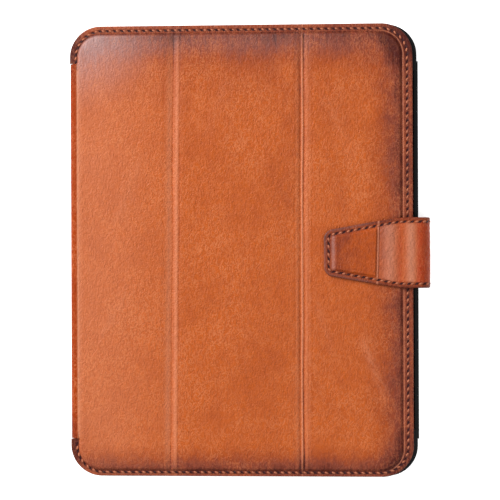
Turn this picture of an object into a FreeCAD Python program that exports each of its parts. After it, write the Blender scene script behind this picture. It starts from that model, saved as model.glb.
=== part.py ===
"""E-paper reader inside its closed tri-fold leather folio, as a parametric document.

Frame: the folio lies on its back. +Z points up out of the front cover, +X towards the
closing strap, +Y towards the top of the page. The origin is the middle of the back face,
on the surface that the folio rests on. All lengths are millimetres.
"""
import math
import os
import re

import FreeCAD
import Part
import Sketcher
from FreeCAD import Placement, Rotation, Vector

doc = FreeCAD.newDocument("reader_folio")
sheet = doc.addObject("Spreadsheet::Sheet", "Sizes")

# ---------------------------------------------------------------- driving dimensions
SIZES = {
    # outline of the folio
    "half_length": 126.5,
    "cover_left": -97.2,
    "cover_right": 94.3,
    "cover_radius": 17.5,
    "spine_half": 105.3,
    # stitched border around the raised panels
    "border_side": 5.5,
    "border_top": 4.8,
    "border_bottom": 3.2,
    # folds
    "fold_one_x": -40.4,
    "fold_two_x": 33.1,
    "fold_half": 3.0,
    # layers, heights above the resting face
    "leather_thick": 1.2,
    "back_board_top": 1.8,
    "tray_floor_top": 3.0,
    "tray_top": 9.6,
    "lip_top": 10.1,
    "lining_under": 10.4,
    "board_under": 10.8,
    "board_top": 11.6,
    "foam_top": 11.9,
    "border_height": 12.0,
    "cover_top": 13.1,
    "fold_under": 11.3,
    "fold_top": 12.3,
    # moulded tray
    "tray_left": -94.9,
    "tray_right": 96.8,
    "tray_half": 126.0,
    "tray_radius": 17.0,
    "wall_side": 1.6,
    "wall_end": 2.2,
    "lip_reach": 2.0,
    "rib_depth": 0.7,
    # spine: a stiff upright strip between two leather bends
    "bend_radius": 4.0,
    "heel_radius": 3.0,
    "skin_thick": 1.0,
    # strap
    "strap_y": -1.9,
    "strap_half": 19.75,
    "strap_low": 0.2,
    "strap_tip_half": 12.4,
    "strap_tip_x": 44.4,
    "strap_crease_x": 75.2,
    "strap_thick": 1.6,
    "strap_lining": 0.5,
    "strap_under": 13.4,
    "strap_out": 104.0,
    "strap_bow": 6.0,
    "strap_heel": 3.8,
    "strap_tab_top": 15.9,
    # reader
    "reader_x": 0.95,
    "reader_y": 0.0,
    "reader_half_x": 93.5,
    "reader_half_y": 123.0,
    "reader_radius": 14.0,
    "reader_back": 3.3,
    "housing_floor": 4.3,
    "housing_wall": 1.4,
    "frame_under": 6.4,
    "frame_top": 7.0,
    "bezel_under": 8.4,
    "reader_front": 9.4,
    "screen_y": 4.0,
    "screen_half_x": 80.0,
    "screen_half_y": 106.0,
    # keys on the reader
    "key_x": 88.2,
    "key_gap": 21.0,
    "key_half_x": 2.6,
    "key_half_y": 15.0,
    "key_slack": 0.2,
    "power_x": 60.0,
    "power_half": 6.0,
}
for row, (alias, size) in enumerate(SIZES.items(), start=1):
    sheet.set(f"A{row}", alias)
    sheet.set(f"B{row}", str(size))
    sheet.setAlias(f"B{row}", alias)
doc.recompute()

sub_parts = []


# ---------------------------------------------------------------- helpers
def linked(text):
    """The expression with every alias written as a cell of the sheet."""
    return re.sub(r"[a-z_]{3,}", r"Sizes.\g<0>", text)


def value(text):
    """What an expression of aliases comes to now."""
    return float(sheet.evalExpression(text))


def bind(thing, where, text):
    thing.setExpression(where, linked(text))


def new_body(name):
    """A PartDesign body that is one sub-part of the object."""
    body = doc.addObject("PartDesign::Body", name)
    body.Label = name
    sub_parts.append(body)
    return body


def named(label):
    """The sub-part with this name."""
    return next(thing for thing in sub_parts if thing.Label == label)


def new_sketch(body, role, lift):
    """A sketch on one of the body's own origin planes, raised by lift along its normal."""
    sketch = body.newObject("Sketcher::SketchObject", "outline")
    plane = next(f for f in body.Origin.OriginFeatures if f.Role == role)
    sketch.AttachmentSupport = (plane, [""])
    sketch.MapMode = "FlatFace"
    bind(sketch, "AttachmentOffset.Base.z", lift)
    return sketch


def pin(sketch, kind, line, end, text):
    """A distance from the sketch's origin to one end of a line."""
    at = sketch.addConstraint(Sketcher.Constraint(kind, -1, 1, line, end, value(text)))
    bind(sketch, f"Constraints[{at}]", text)


def rounded_loop(sketch, left, right, bottom, top, radii):
    """A rectangle of expressions; radii are for the corners bottom left, bottom right,
    top right and top left, and None leaves a corner square."""
    west, east, south, north = (value(t) for t in (left, right, bottom, top))
    size = [0.0 if r is None else value(r) for r in radii]
    corners = [(west, south), (east, south), (east, north), (west, north)]
    along = [(1, 0), (0, 1), (-1, 0), (0, -1)]
    lines = []
    for n in range(4):
        (x0, y0), (x1, y1), (dx, dy) = corners[n], corners[(n + 1) % 4], along[n]
        a, b = size[n], size[(n + 1) % 4]
        start = Vector(x0 + a * dx, y0 + a * dy, 0)
        end = Vector(x1 - b * dx, y1 - b * dy, 0)
        lines.append(sketch.addGeometry(Part.LineSegment(start, end)))
    for n, kind in enumerate(("Horizontal", "Vertical", "Horizontal", "Vertical")):
        sketch.addConstraint(Sketcher.Constraint(kind, lines[n]))
    middle = [(1, 1), (-1, 1), (-1, -1), (1, -1)]
    for n in range(4):
        before, after = lines[n - 1], lines[n]
        if radii[n] is None:
            sketch.addConstraint(Sketcher.Constraint("Coincident", before, 2, after, 1))
            continue
        x, y = corners[n]
        centre = Vector(x + middle[n][0] * size[n], y + middle[n][1] * size[n], 0)
        circle = Part.Circle(centre, Vector(0, 0, 1), size[n])
        begin = math.pi * (1.0 + 0.5 * n)
        arc = sketch.addGeometry(Part.ArcOfCircle(circle, begin, begin + math.pi / 2))
        sketch.addConstraint(Sketcher.Constraint("Tangent", before, 2, arc, 1))
        sketch.addConstraint(Sketcher.Constraint("Tangent", arc, 2, after, 1))
        at = sketch.addConstraint(Sketcher.Constraint("Radius", arc, size[n]))
        bind(sketch, f"Constraints[{at}]", radii[n])
    pin(sketch, "DistanceY", lines[0], 1, bottom)
    pin(sketch, "DistanceX", lines[1], 1, right)
    pin(sketch, "DistanceY", lines[2], 1, top)
    pin(sketch, "DistanceX", lines[3], 1, left)


def corner_loop(sketch, points):
    """A closed polygon whose corners are pairs of expressions."""
    spots = [Vector(value(x), value(y), 0) for x, y in points]
    lines = []
    for n, spot in enumerate(spots):
        lines.append(sketch.addGeometry(Part.LineSegment(spot, spots[(n + 1) % len(spots)])))
    for n, (x, y) in enumerate(points):
        sketch.addConstraint(Sketcher.Constraint("Coincident", lines[n - 1], 2, lines[n], 1))
        pin(sketch, "DistanceX", lines[n], 1, x)
        pin(sketch, "DistanceY", lines[n], 1, y)


def round_loop(sketch, centre_x, centre_y, radius):
    """A circle of expressions."""
    spot = Vector(value(centre_x), value(centre_y), 0)
    ring = sketch.addGeometry(Part.Circle(spot, Vector(0, 0, 1), value(radius)))
    for kind, text in (("DistanceX", centre_x), ("DistanceY", centre_y)):
        at = sketch.addConstraint(Sketcher.Constraint(kind, -1, 1, ring, 3, value(text)))
        bind(sketch, f"Constraints[{at}]", text)
    at = sketch.addConstraint(Sketcher.Constraint("Radius", ring, value(radius)))
    bind(sketch, f"Constraints[{at}]", radius)


def pad(body, sketch, length):
    """Material grown from the sketch along its normal."""
    feature = body.newObject("PartDesign::Pad", "pad")
    feature.Profile = sketch
    bind(feature, "Length", length)
    return feature


def pocket(body, sketch, depth):
    """Material cut from the sketch against its normal; it must remove something."""
    before = solid_volume(body)
    feature = body.newObject("PartDesign::Pocket", "pocket")
    feature.Profile = sketch
    bind(feature, "Length", depth)
    if solid_volume(body) >= before - 1e-6:
        raise RuntimeError(f"a pocket of {body.Label} cuts nothing")
    return feature


def solid_volume(body):
    doc.recompute()
    return body.Shape.Volume


def slab(name, box, low, high, radii=(None,) * 4):
    """A flat plate: box is left, right, bottom, top; low and high are its faces."""
    body = new_body(name)
    sketch = new_sketch(body, "XY_Plane", low)
    rounded_loop(sketch, *box, radii)
    pad(body, sketch, f"({high}) - ({low})")
    return body


def add_slab(body, box, low, high, radii=(None,) * 4):
    sketch = new_sketch(body, "XY_Plane", low)
    rounded_loop(sketch, *box, radii)
    return pad(body, sketch, f"({high}) - ({low})")


def cut_slab(body, box, low, high, radii=(None,) * 4):
    sketch = new_sketch(body, "XY_Plane", high)
    rounded_loop(sketch, *box, radii)
    return pocket(body, sketch, f"({high}) - ({low})")


def soften(body, wanted, radius):
    """Fillet the edges of the body's last feature whose middle point passes wanted."""
    doc.recompute()
    tip = body.Tip
    names = []
    for number, edge in enumerate(tip.Shape.Edges, start=1):
        half_way = edge.valueAt((edge.FirstParameter + edge.LastParameter) / 2)
        if wanted(half_way, edge):
            names.append(f"Edge{number}")
    if not names:
        raise RuntimeError(f"no edge of {body.Label} to round")
    fillet = body.newObject("PartDesign::Fillet", "rounding")
    fillet.Base = (tip, names)
    bind(fillet, "Radius", radius)
    return fillet


def at_height(height):
    """Chooses the edges that lie flat at a height."""
    level = value(height)

    def lies_there(spot, edge):
        box = edge.BoundBox
        return abs(box.ZMin - level) < 1e-4 and abs(box.ZMax - level) < 1e-4

    return lies_there


def primitive(kind, name, sizes, place, turn=Rotation()):
    """A Part primitive whose sizes and position are bound to the sheet."""
    thing = doc.addObject(kind, name)
    thing.Placement = Placement(Vector(), turn)
    for prop, text in sizes.items():
        bind(thing, prop, text)
    for axis, text in zip("xyz", place):
        bind(thing, f"Placement.Base.{axis}", text)
    return thing


def boxes(name, places):
    """Several separate blocks in one sub-part: each is left, right, bottom, top, low, high."""
    blocks = []
    for left, right, bottom, top, low, high in places:
        sizes = {
            "Length": f"({right}) - ({left})",
            "Width": f"({top}) - ({bottom})",
            "Height": f"({high}) - ({low})",
        }
        blocks.append(primitive("Part::Box", "block", sizes, (left, bottom, low)))
    group = doc.addObject("Part::Compound", name)
    group.Links = blocks
    group.Label = name
    sub_parts.append(group)
    return group


def quarter_bend(name, centre_x, centre_z, outer, thick, low_y, length, first_angle):
    """A quarter of a tube along Y: leather turning through a right angle. first_angle is
    where the quarter starts, in degrees from +X towards +Z."""
    lay = Rotation(Vector(1, 0, 0), 90).multiply(Rotation(Vector(0, 0, 1), first_angle))
    rings = []
    for radius in (outer, f"({outer}) - ({thick})"):
        sizes = {"Radius": radius, "Height": length}
        place = (centre_x, f"({low_y}) + ({length})", centre_z)
        ring = primitive("Part::Cylinder", "ring", sizes, place, lay)
        ring.Angle = 90
        rings.append(ring)
    bend = doc.addObject("Part::Cut", name)
    bend.Base, bend.Tool = rings
    bend.Label = name
    sub_parts.append(bend)
    return bend


# ---------------------------------------------------------------- back of the folio
def make_back():
    """Outer leather, stiff board and the moulded tray that holds the reader."""
    edge_left = "cover_left + heel_radius"
    slab(
        "back_leather",
        (edge_left, "tray_right - 1.4", "-tray_half + 0.4", "tray_half - 0.4"),
        "0",
        "leather_thick",
        ("tray_radius",) * 4,
    )
    board = slab(
        "back_board",
        ("tray_left + 1.2", "tray_right - 2", "-tray_half + 1", "tray_half - 1"),
        "leather_thick",
        "back_board_top",
        ("tray_radius - 1",) * 4,
    )
    tongue_slot = (
        "tray_right - 32",
        "tray_right",
        "strap_y - strap_half",
        "strap_y + strap_half",
    )
    cut_slab(board, tongue_slot, "leather_thick", "back_board_top")


def make_tray():
    """A black moulded tray: floor, walls, four corner lips and a grip rib on the right."""
    tray = slab(
        "tray_shell",
        ("tray_left", "tray_right", "-tray_half", "tray_half"),
        "back_board_top",
        "lip_top",
        ("tray_radius",) * 4,
    )
    inner = (
        "tray_left + wall_side",
        "tray_right - wall_side",
        "-tray_half + wall_end",
        "tray_half - wall_end",
    )
    reach = "lip_reach"
    mouth = tuple(
        f"({text}) {sign} {reach}" for text, sign in zip(inner, ("+", "-", "+", "-"))
    )
    cut_slab(tray, mouth, "tray_top", "lip_top", ("tray_radius - wall_side - lip_reach",) * 4)
    # the straight stretches of the walls stand lower than the corner lips
    corner = "tray_radius + 9"
    across = (f"tray_left + {corner}", f"tray_right - ({corner})", "-tray_half - 1", "tray_half + 1")
    cut_slab(tray, across, "tray_top", "lip_top")
    along = ("tray_left - 1", "tray_right + 1", f"-tray_half + {corner}", f"tray_half - ({corner})")
    cut_slab(tray, along, "tray_top", "lip_top")
    # the cavity undercuts the lips, so it is cut from a sketch at their underside
    cut_slab(tray, inner, "tray_floor_top", "tray_top", ("tray_radius - wall_side",) * 4)
    rib = (
        "tray_right - wall_side / 2",
        "tray_right + rib_depth",
        "-spine_half",
        "spine_half",
    )
    add_slab(tray, rib, "back_board_top + 0.4", "tray_top - 0.4")
    # openings in the end walls for the charging port and the power key
    port = ("reader_x - 7", "reader_x + 7", "-tray_half - 1", "-tray_half + wall_end + 1")
    cut_slab(tray, port, "tray_floor_top + 0.2", "tray_top")
    power = ("power_x - 9", "power_x + 9", "tray_half - wall_end - 1", "tray_half + 1")
    cut_slab(tray, power, "tray_floor_top + 1.4", "tray_top")
    lining_gap = "0.4"
    slab(
        "tray_lining",
        tuple(
            f"({text}) {sign} {lining_gap}" for text, sign in zip(inner, ("+", "-", "+", "-"))
        ),
        "tray_floor_top",
        "tray_floor_top + 0.25",
        ("tray_radius - wall_side - 0.4",) * 4,
    )


# ---------------------------------------------------------------- spine and front cover
def make_spine():
    """The upright strip that joins the back to the front cover, and its two bends."""
    low, high = "heel_radius + 0.05", "cover_top - bend_radius - 0.05"
    y_range = ("-spine_half", "spine_half")
    skin = "cover_left + skin_thick"
    slab("spine_leather", ("cover_left", skin, *y_range), low, high)
    slab("spine_board", (skin, f"{skin} + 0.6", "-spine_half + 2", "spine_half - 2"), low, high)
    slab(
        "spine_lining",
        (f"{skin} + 0.6", f"{skin} + 0.9", "-spine_half + 1", "spine_half - 1"),
        low,
        high,
    )
    whole = "2 * spine_half"
    quarter_bend(
        "spine_bend_back",
        "cover_left + heel_radius - 0.02",
        "heel_radius",
        "heel_radius",
        "skin_thick",
        "-spine_half",
        whole,
        180,
    )
    quarter_bend(
        "spine_bend_front",
        "cover_left + bend_radius - 0.05",
        "cover_top - bend_radius",
        "bend_radius",
        "skin_thick",
        "-spine_half",
        whole,
        90,
    )


def cover_panel(number, left, right, round_left, round_right):
    """One stiff panel of the cover: lining, board, foam and the leather over them. The
    leather lies flat along its stitched border and stands up over the board."""
    whole = ("-half_length", "half_length")
    corner = "cover_radius"
    radii = [corner if flag else None for flag in (round_left, round_right, round_right, round_left)]
    raised_left = f"({left}) + {'bend_radius - 0.2' if round_left else '0'}"
    raised_right = f"({right}) - {'border_side' if round_right else '0'}"
    raised = (raised_left, raised_right, "-half_length + border_bottom", "half_length - border_top")
    inner_radii = ["cover_radius - border_top" if r else None for r in radii]
    core = (
        f"{raised_left} + 0.8",
        f"{raised_right} - 0.8",
        "-half_length + border_bottom + 0.8",
        "half_length - border_top - 0.8",
    )
    core_radii = ["cover_radius - border_top - 0.8" if r else None for r in radii]

    leather = slab(
        f"panel_{number}_leather", (left, right, *whole), "board_under", "border_height", radii
    )
    add_slab(leather, raised, "border_height - 0.2", "cover_top", inner_radii)
    soften(leather, at_height("cover_top"), "0.8")
    cut_slab(leather, core, "board_under", "foam_top", core_radii)
    slab(f"panel_{number}_lining", (left, right, *whole), "lining_under", "board_under", radii)
    slab(f"panel_{number}_board", core, "board_under", "board_top", core_radii)
    slab(f"panel_{number}_foam", core, "board_top", "foam_top", core_radii)

def make_cover():
    """Three panels, with pressed fold strips between them."""
    one_right = "fold_one_x - fold_half"
    cover_panel(1, "cover_left", one_right, True, False)
    # along the spine the leather and the lining give way to the bend of the spine
    notch = (
        "cover_left - 1",
        "cover_left + bend_radius",
        "-spine_half - 0.05",
        "spine_half + 0.05",
    )
    cut_slab(named("panel_1_leather"), notch, "board_under", "cover_top")
    cut_slab(named("panel_1_lining"), notch, "lining_under", "board_under")

    cover_panel(2, "fold_one_x + fold_half", "fold_two_x - fold_half", False, False)
    cover_panel(3, "fold_two_x + fold_half", "cover_right", False, True)

    # magnets sunk in the last panel's board, and a steel keeper for the strap's magnet
    magnet_x, magnet_slots = "cover_right - border_side - 5", []
    for y in ("-88", "-52", "52", "88"):
        magnet_slots.append((f"{magnet_x} - 2", f"{magnet_x} + 2", f"{y} - 6", f"{y} + 6"))
    for slot in magnet_slots:
        cut_slab(named("panel_3_board"), slot, "board_under", "board_top")
    boxes("cover_magnets", [(*slot, "board_under + 0.1", "board_top") for slot in magnet_slots])
    keeper = ("strap_tip_x + 6", "strap_crease_x - 3", "strap_y - 12", "strap_y + 12")
    cut_slab(named("panel_3_foam"), keeper, "board_top", "foam_top")
    slab("strap_keeper", keeper, "board_top", "foam_top", ("2",) * 4)

    for number, middle in ((1, "fold_one_x"), (2, "fold_two_x")):
        slab(
            f"fold_{number}_strip",
            (
                f"{middle} - fold_half + 0.05",
                f"{middle} + fold_half - 0.05",
                "-half_length",
                "half_length",
            ),
            "fold_under",
            "fold_top",
        )


# ---------------------------------------------------------------- closing strap
def make_strap():
    """The strap is sewn in under the tray, turns up past the right edge and comes back
    over the cover to a stiffened tab with a magnet."""
    low_y, high_y = "strap_y - strap_half", "strap_y + strap_half"
    turn_x = "strap_out - strap_heel"
    root = slab(
        "strap_root",
        ("tray_right - 1.3", turn_x, low_y, high_y),
        "strap_low",
        "strap_low + strap_thick",
    )
    add_slab(
        root,
        ("tray_right - 31", "tray_right - 1.2", "strap_y - 17", "strap_y + 17"),
        "leather_thick + 0.05",
        "back_board_top - 0.05",
    )
    quarter_bend(
        "strap_bend_lower",
        f"{turn_x} + 0.02",
        "strap_low + strap_heel",
        "strap_heel",
        "strap_thick",
        low_y,
        "2 * strap_half",
        270,
    )
    side_low = "strap_low + strap_heel + 0.05"
    side_high = "strap_under + strap_thick - strap_bow - 0.05"
    split = "strap_out - strap_thick + strap_lining"
    slab("strap_side_leather", (split, "strap_out", low_y, high_y), side_low, side_high)
    slab(
        "strap_side_lining",
        ("strap_out - strap_thick", split, low_y, high_y),
        side_low,
        side_high,
    )
    quarter_bend(
        "strap_bend_upper",
        "strap_out - strap_bow + 0.02",
        "strap_under + strap_thick - strap_bow",
        "strap_bow",
        "strap_thick",
        low_y,
        "2 * strap_half",
        0,
    )


def tab_outline(sketch, inset):
    """The tab narrows from the strap's full width towards a blunt tip."""
    right = "strap_out - strap_bow"
    shoulder = "strap_out - 18"
    tip = f"strap_tip_x + {inset}"
    corner_loop(
        sketch,
        [
            (tip, f"strap_y - strap_tip_half + {inset}"),
            (shoulder, f"strap_y - strap_half + {inset}"),
            (right, f"strap_y - strap_half + {inset}"),
            (right, f"strap_y + strap_half - {inset}"),
            (shoulder, f"strap_y + strap_half - {inset}"),
            (tip, f"strap_y + strap_tip_half - {inset}"),
        ],
    )


def make_tab():
    """Leather over a suede lining; a stiff insert and a magnet lift the end of the tab."""
    tip_x, shoulder_x = value("strap_tip_x"), value("strap_out - 18")

    def upright_at(x):
        def chosen(spot, edge):
            return edge.BoundBox.ZLength > 0.3 and abs(spot.x - x) < 0.01

        return chosen

    leather_low = "strap_under + strap_lining"
    for name, low, high in (
        ("strap_tab_lining", "strap_under", leather_low),
        ("strap_tab_leather", leather_low, "strap_under + strap_thick"),
    ):
        body = new_body(name)
        sketch = new_sketch(body, "XY_Plane", low)
        tab_outline(sketch, "0")
        pad(body, sketch, f"({high}) - ({low})")
        soften(body, upright_at(shoulder_x), "60")
        soften(body, upright_at(tip_x), "4.5")
    leather = body

    def raised_corners(left, right, spread):
        """A trapezium on the tab, wider towards the strap; spread widens it."""
        return [
            (left, f"strap_y - strap_tip_half + 2.6 - {spread}"),
            (right, f"strap_y - strap_half + 5.2 - {spread}"),
            (right, f"strap_y + strap_half - 5.2 + {spread}"),
            (left, f"strap_y + strap_tip_half - 2.6 + {spread}"),
        ]

    sketch = new_sketch(leather, "XY_Plane", "strap_under + strap_thick - 0.1")
    corner_loop(sketch, raised_corners("strap_tip_x + 4.4", "strap_crease_x - 0.4", "0"))
    pad(leather, sketch, "strap_tab_top - strap_under - strap_thick + 0.1")
    soften(leather, at_height("strap_tab_top"), "0.7")
    sketch = new_sketch(leather, "XY_Plane", "strap_tab_top - 1")
    corner_loop(sketch, raised_corners("strap_tip_x + 5.4", "strap_crease_x - 1.4", "-1"))
    pocket(leather, sketch, f"strap_tab_top - 1 - ({leather_low})")

    insert = new_body("strap_tab_insert")
    sketch = new_sketch(insert, "XY_Plane", leather_low)
    corner_loop(sketch, raised_corners("strap_tip_x + 5.5", "strap_crease_x - 1.5", "-1.1"))
    pad(insert, sketch, f"strap_tab_top - 1 - ({leather_low})")
    magnet = ("strap_tip_x + 9", "strap_tip_x + 21", "strap_y - 8", "strap_y + 8")
    cut_slab(insert, magnet, leather_low, "strap_tab_top - 1")
    slab("strap_magnet", magnet, leather_low, "strap_tab_top - 1.2")


# ---------------------------------------------------------------- reader: housing and frame
def reader_box(inset):
    """The reader's outline, drawn in by inset."""
    return (
        f"reader_x - reader_half_x + {inset}",
        f"reader_x + reader_half_x - ({inset})",
        f"reader_y - reader_half_y + {inset}",
        f"reader_y + reader_half_y - ({inset})",
    )


def screen_box(margin):
    """The screen's window, grown by margin."""
    return (
        f"reader_x - screen_half_x - ({margin})",
        f"reader_x + screen_half_x + {margin}",
        f"screen_y - screen_half_y - ({margin})",
        f"screen_y + screen_half_y + {margin}",
    )


SCREW_SPOTS = [(x, y) for y in ("-112", "0", "114") for x in ("-87", "89")]


def make_housing():
    """Rear housing with screw posts, and the stiff plate that the screws pull down."""
    housing = slab(
        "rear_housing", reader_box("0"), "reader_back", "bezel_under", ("reader_radius",) * 4
    )
    soften(housing, at_height("reader_back"), "0.9")
    cavity = ("reader_radius - housing_wall",) * 4
    cut_slab(housing, reader_box("housing_wall"), "housing_floor", "bezel_under", cavity)
    for x, y in SCREW_SPOTS:
        for radius, cut in (("2.1", False), ("0.7", True)):
            level = "frame_under" if cut else "housing_floor - 0.1"
            sketch = new_sketch(housing, "XY_Plane", level)
            round_loop(sketch, x, y, radius)
            if cut:
                pocket(housing, sketch, "frame_under - housing_floor")
            else:
                pad(housing, sketch, "frame_under - housing_floor + 0.1")
    port = (
        "reader_x - 4.75",
        "reader_x + 4.75",
        "reader_y - reader_half_y - 1",
        "reader_y - reader_half_y + 2",
    )
    cut_slab(housing, port, "housing_floor + 0.3", "bezel_under")
    power = (
        "power_x - power_half - key_slack",
        "power_x + power_half + key_slack",
        "reader_y + reader_half_y - 2",
        "reader_y + reader_half_y + 1",
    )
    cut_slab(housing, power, "housing_floor + 0.8", "housing_floor + 3.4")

    plate = slab(
        "mid_frame",
        reader_box("housing_wall + 0.15"),
        "frame_under",
        "frame_top",
        ("reader_radius - housing_wall",) * 4,
    )
    for x, y in SCREW_SPOTS:
        sketch = new_sketch(plate, "XY_Plane", "frame_top")
        round_loop(sketch, x, y, "0.95")
        pocket(plate, sketch, "frame_top - frame_under")
    for window in (
        ("reader_x - 6", "reader_x + 6", "reader_y - reader_half_y", "reader_y - reader_half_y + 9.5"),
        ("-18", "18", "-113", "-109.5"),
        ("power_x - 8", "power_x + 8", "reader_y + reader_half_y - 7", "reader_y + reader_half_y"),
    ):
        cut_slab(plate, window, "frame_under", "frame_top")

    screws = []
    for x, y in SCREW_SPOTS:
        head = primitive(
            "Part::Cylinder", "head", {"Radius": "1.5", "Height": "0.5"}, (x, y, "frame_top")
        )
        shank = primitive(
            "Part::Cylinder",
            "shank",
            {"Radius": "0.68", "Height": "frame_top - housing_floor - 0.1"},
            (x, y, "housing_floor + 0.2"),
        )
        socket = primitive(
            "Part::Prism", "socket", {"Circumradius": "0.6", "Height": "1"}, (x, y, "frame_top + 0.2")
        )
        joined = doc.addObject("Part::Fuse", "screw_blank")
        joined.Base, joined.Tool = head, shank
        screw = doc.addObject("Part::Cut", "screw")
        screw.Base, screw.Tool = joined, socket
        screws.append(screw)
    group = doc.addObject("Part::Compound", "frame_screws")
    group.Links = screws
    group.Label = "frame_screws"
    sub_parts.append(group)


def make_electronics():
    """Battery, main board with its can and chips, charging port, aerial."""
    floor = "housing_floor + 0.1"
    battery = slab(
        "battery_pack", ("-80", "6", "-78", "58"), floor, "frame_under - 0.2", ("2",) * 4
    )
    soften(battery, at_height("frame_under - 0.2"), "0.5")
    board = slab("main_board", ("14", "82", "-20", "106"), floor, f"{floor} + 0.8", ("1.5",) * 4)
    cut_slab(board, ("13", "26", "-21", "4"), floor, f"{floor} + 0.8")
    can = slab("shield_can", ("34", "70", "48", "86"), f"{floor} + 0.8", f"{floor} + 1.8", ("1",) * 4)
    cut_slab(can, ("34.3", "69.7", "48.3", "85.7"), f"{floor} + 0.8", f"{floor} + 1.6", ("0.7",) * 4)
    top = f"{floor} + 0.8"
    chips = [
        ("38", "50", "56", "68", "0.7"),
        ("53", "64", "58", "66", "0.7"),
        ("40", "48", "24", "32", "0.8"),
        ("56", "62", "14", "20", "0.8"),
        ("30", "36", "92", "97", "0.8"),
        ("66", "76", "-8", "2", "1"),
    ]
    boxes("board_chips", [(*chip[:4], top, f"{top} + {chip[4]}") for chip in chips])
    boxes(
        "battery_connector",
        [("8.5", "13.5", "40", "50", floor, f"{floor} + 1.2")],
    )
    port_y = "reader_y - reader_half_y"
    port = new_body("usb_port")
    sketch = new_sketch(port, "XZ_Plane", f"-({port_y}) - 8")
    rounded_loop(sketch, "reader_x - 4.5", "reader_x + 4.5", "4.7", "7.9", ("1.55",) * 4)
    pad(port, sketch, "7.6")
    sketch = new_sketch(port, "XZ_Plane", f"-({port_y}) - 0.4")
    rounded_loop(sketch, "reader_x - 4.2", "reader_x + 4.2", "5", "7.6", ("1.25",) * 4)
    pocket(port, sketch, "6.4")
    tongue = new_sketch(port, "XZ_Plane", f"-({port_y}) - 7.2")
    rounded_loop(tongue, "reader_x - 3.3", "reader_x + 3.3", "5.95", "6.65", (None,) * 4)
    pad(port, tongue, "5.4")
    slab("wifi_aerial", ("-64", "-20", "116", "120"), "frame_top", "frame_top + 0.25", ("1",) * 4)


def make_display():
    """Electronic-paper panel, light guide and cover glass, stacked on the frame."""
    slab("display_panel", screen_box("3"), "frame_top + 0.05", "frame_top + 0.45", ("1",) * 4)
    slab("light_guide", screen_box("2.5"), "frame_top + 0.5", "frame_top + 0.85", ("1",) * 4)
    slab("cover_glass", screen_box("3"), "frame_top + 0.9", "bezel_under - 0.15", ("2",) * 4)
    gasket = slab("screen_gasket", screen_box("3"), "bezel_under - 0.15", "bezel_under", ("2",) * 4)
    cut_slab(gasket, screen_box("0.6"), "bezel_under - 0.15", "bezel_under", ("1",) * 4)
    strip_y, guide = "screen_y - screen_half_y", ("frame_top + 0.5", "frame_top + 0.85")
    boxes(
        "light_strip",
        [
            (f"{x} - 3", f"{x} + 3", f"{strip_y} - 4.2", f"{strip_y} - 2.7", *guide)
            for x in ("-66", "-40", "-14", "14", "40", "66")
        ],
    )
    ribbon = new_body("display_ribbon")
    sketch = new_sketch(ribbon, "YZ_Plane", "-14")
    # the ribbon leaves the panel's lower edge and folds back under the frame
    path = [
        ("-106", "frame_top + 0.06"),
        ("-106", "frame_top + 0.26"),
        ("-111.5", "frame_top + 0.26"),
        ("-111.5", "frame_under - 0.7"),
        ("-84", "frame_under - 0.7"),
        ("-84", "frame_under - 0.5"),
        ("-110.7", "frame_under - 0.5"),
        ("-110.7", "frame_top + 0.06"),
    ]
    corner_loop(sketch, path)
    pad(ribbon, sketch, "28")


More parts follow.
